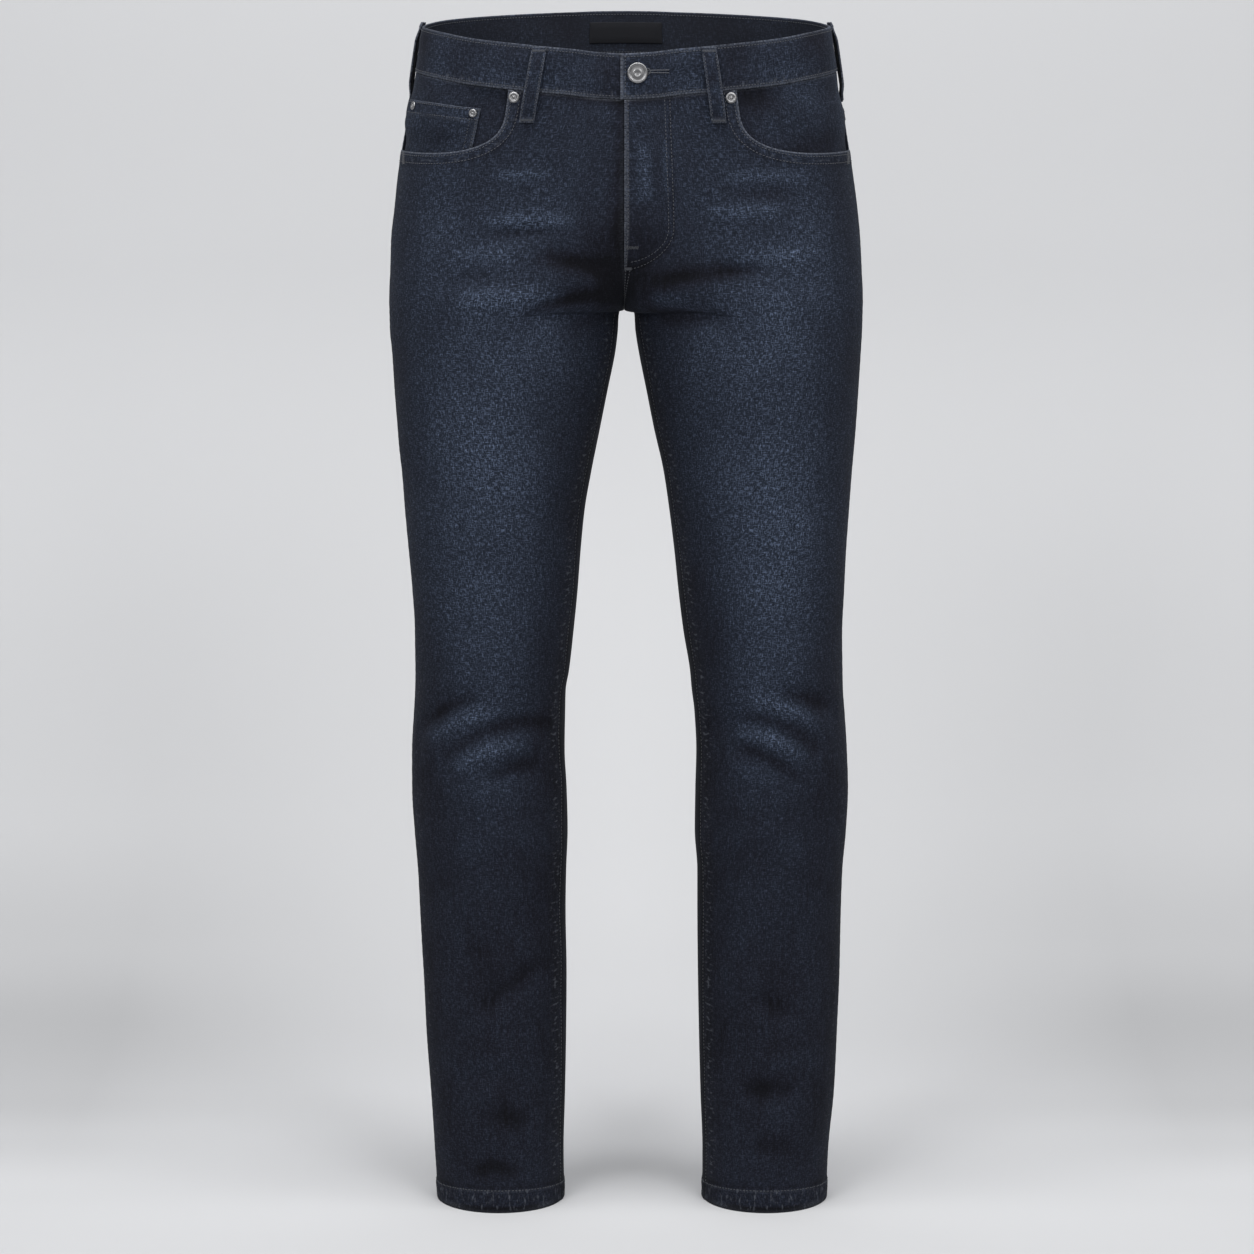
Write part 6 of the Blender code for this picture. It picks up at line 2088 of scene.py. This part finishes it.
class JeansCloth(bpy.types.PropertyGroup):
    """Colours and grain of the denim and the label."""

    # deep is painted shade: the cloth darkened as in the shade of the deepest troughs
    deep: tint("Deep indigo", "Cloth in the deepest troughs", (0.0060, 0.0063, 0.0088))
    dark: tint("Unworn indigo", "Unworn cloth, on the inner legs and shins", (0.0118, 0.0132, 0.0205))
    middle: tint("Worn indigo", "Cloth at half its fading", (0.0205, 0.0262, 0.0410))
    pale: tint("Palest indigo", "Cloth at its most faded", (0.0400, 0.0520, 0.0800))
    worn: tint("Rubbed edge", "Edges rubbed down to the pale core of the yarn", (0.1600, 0.1750, 0.2100))
    reverse: tint("Reverse", "Inside face of the cloth", (0.0165, 0.0180, 0.0240))
    label: tint("Label", "Black ground of the blank label", (0.0098, 0.0104, 0.0130))
    cloud: amount("Clouding", "Broad uneven fading", 0.50, 2.0)
    streak: amount("Streaks", "Streaks along the warp", 0.45, 2.0)
    grain: amount("Grain", "Uneven yarns", 0.6, 8.0)
    warp: amount("Warp", "Short pale marks along the warp", 11.0, 20.0)
    weft: amount("Weft", "Short pale marks along the weft", 9.5, 20.0)
    fleck: amount("Flecks", "Scattered pale flecks of bare yarn", 9.0, 20.0)
    ground: amount("Ground", "How far the ground is darker than the marks on it", 0.62, 2.0)
    marks: amount("Pucker marks", "Rubbed marks beside the seams and on the hems", 0.50, 1.0)
    gloss: amount("Gloss", "Shine of the cloth", 0.08)
    sheen: amount("Sheen", "Fuzz on the cloth", 0.02)
    twill: size("Twill rib", "Width of one rib of the twill", 0.0008)


class JeansStitching(bpy.types.PropertyGroup):
    """Sizes and colours of the sewing."""

    pitch: size("Stitch pitch", "Length of one stitch with its gap", 0.0032)
    length: size("Stitch length", "Length of the thread that shows", 0.0021)
    radius: size("Thread radius", "Half the thread's thickness", 0.00034)
    thread: tint("Thread", "Navy topstitching thread", (0.0620, 0.0680, 0.0830))
    tack: tint("Bar tack thread", "Thread of the bar tacks", (0.0520, 0.0570, 0.0700))


class JeansMetal(bpy.types.PropertyGroup):
    """Colours of the button and rivets."""

    metal: tint("Nickel", "Rubbed nickel on the edges", (0.52, 0.52, 0.53))
    metal_dark: tint("Antiquing", "Dark finish left in the hollows", (0.10, 0.10, 0.105))


class JeansStudio(bpy.types.PropertyGroup):
    """The floor, backdrop, light and camera."""

    paper: tint("Backdrop", "Pale paper of floor and backdrop", (0.672, 0.677, 0.690))
    light: amount("Light", "Strength of the studio light", 1.0, 4.0)
    distance: size("Camera distance", "Camera in front of the jeans", 3.6)
    camera_height: size("Camera height", "Camera above the floor", 1.02)
    pitch: bpy.props.FloatProperty(
        name="Camera pitch", description="How far the camera looks down",
        default=math.radians(7.751), unit="ROTATION")
    lens: bpy.props.FloatProperty(name="Lens", description="Focal length", default=115.03, unit="CAMERA")


def cloth_material(name):
    """A cloth material by name, made when first asked for."""
    found = bpy.data.materials.get(name)
    if found:
        return found
    look = bpy.context.scene.jeans_cloth
    if name == "label_damask":
        return label_paint(look)
    return denim(name, look)


class JEANS_OT_legs(bpy.types.Operator):
    """Make the front and back panels of both legs"""

    bl_idname = "jeans.legs"
    bl_label = "Legs"

    def execute(self, context):
        make_legs(cloth_material("indigo_denim"))
        return {"FINISHED"}


class JEANS_OT_yokes(bpy.types.Operator):
    """Make the back yokes"""

    bl_idname = "jeans.yokes"
    bl_label = "Yokes"

    def execute(self, context):
        make_yokes(cloth_material("indigo_denim"))
        return {"FINISHED"}


class JEANS_OT_pockets(bpy.types.Operator):
    """Make the facings, the coin pocket and the patch pockets"""

    bl_idname = "jeans.pockets"
    bl_label = "Pockets"

    def execute(self, context):
        material = cloth_material("indigo_denim")
        make_facings(material)
        make_coin_pocket(material)
        make_back_pockets(material)
        return {"FINISHED"}


class JEANS_OT_waistband(bpy.types.Operator):
    """Make the waistband"""

    bl_idname = "jeans.waistband"
    bl_label = "Waistband"

    def execute(self, context):
        make_waistband(cloth_material("waistband_twill"))
        return {"FINISHED"}


class JEANS_OT_loops(bpy.types.Operator):
    """Make the belt loops"""

    bl_idname = "jeans.loops"
    bl_label = "Belt loops"

    def execute(self, context):
        make_loops(cloth_material("waistband_twill"))
        return {"FINISHED"}


class JEANS_OT_label(bpy.types.Operator):
    """Make the blank label"""

    bl_idname = "jeans.label"
    bl_label = "Label"

    def execute(self, context):
        make_label(cloth_material("label_damask"))
        return {"FINISHED"}


class JEANS_OT_metal(bpy.types.Operator):
    """Make the button and the rivets"""

    bl_idname = "jeans.metal"
    bl_label = "Button and rivets"

    def execute(self, context):
        make_metal(metal_paint(context.scene.jeans_metal))
        return {"FINISHED"}


class JEANS_OT_stitches(bpy.types.Operator):
    """Lay all the sewing that shows"""

    bl_idname = "jeans.stitches"
    bl_label = "Stitching"

    def execute(self, context):
        look = context.scene.jeans_stitching
        make_stitches(thread_paint("navy_thread", look.thread), thread_paint("tack_thread", look.tack))
        return {"FINISHED"}


class JEANS_OT_studio(bpy.types.Operator):
    """Make the floor, the backdrop, the lights and the camera"""

    bl_idname = "jeans.studio"
    bl_label = "Studio"

    def execute(self, context):
        make_studio(context.scene.jeans_studio)
        return {"FINISHED"}


OPERATORS = (
    JEANS_OT_legs,
    JEANS_OT_yokes,
    JEANS_OT_pockets,
    JEANS_OT_waistband,
    JEANS_OT_loops,
    JEANS_OT_label,
    JEANS_OT_metal,
    JEANS_OT_stitches,
    JEANS_OT_studio,
)
GROUPS = (
    ("jeans_cloth", JeansCloth),
    ("jeans_stitching", JeansStitching),
    ("jeans_metal", JeansMetal),
    ("jeans_studio", JeansStudio),
)


class JEANS_PT_panel(bpy.types.Panel):
    """Lists the jeans' settings and the buttons that make each piece"""

    bl_idname = "JEANS_PT_panel"
    bl_label = "Slim jeans"
    bl_space_type = "VIEW_3D"
    bl_region_type = "UI"
    bl_category = "Jeans"

    def draw(self, context):
        layout = self.layout
        for name, group in GROUPS:
            box = layout.box()
            settings = getattr(context.scene, name)
            for key in group.__annotations__:
                box.prop(settings, key)
        for operator in OPERATORS:
            layout.operator(operator.bl_idname)


def register():
    """Register the settings, operators and panel."""
    for name, group in GROUPS:
        bpy.utils.register_class(group)
        setattr(bpy.types.Scene, name, bpy.props.PointerProperty(type=group))
    for operator in OPERATORS:
        bpy.utils.register_class(operator)
    bpy.utils.register_class(JEANS_PT_panel)


def unregister():
    """Remove the settings, operators and panel."""
    bpy.utils.unregister_class(JEANS_PT_panel)
    for operator in reversed(OPERATORS):
        bpy.utils.unregister_class(operator)
    for name, group in reversed(GROUPS):
        delattr(bpy.types.Scene, name)
        bpy.utils.unregister_class(group)


def main():
    """Make every piece in order."""
    register()
    bpy.ops.jeans.studio()
    bpy.ops.jeans.legs()
    bpy.ops.jeans.yokes()
    bpy.ops.jeans.pockets()
    bpy.ops.jeans.waistband()
    bpy.ops.jeans.loops()
    bpy.ops.jeans.label()
    bpy.ops.jeans.metal()
    bpy.ops.jeans.stitches()


if __name__ == "__main__":
    main()
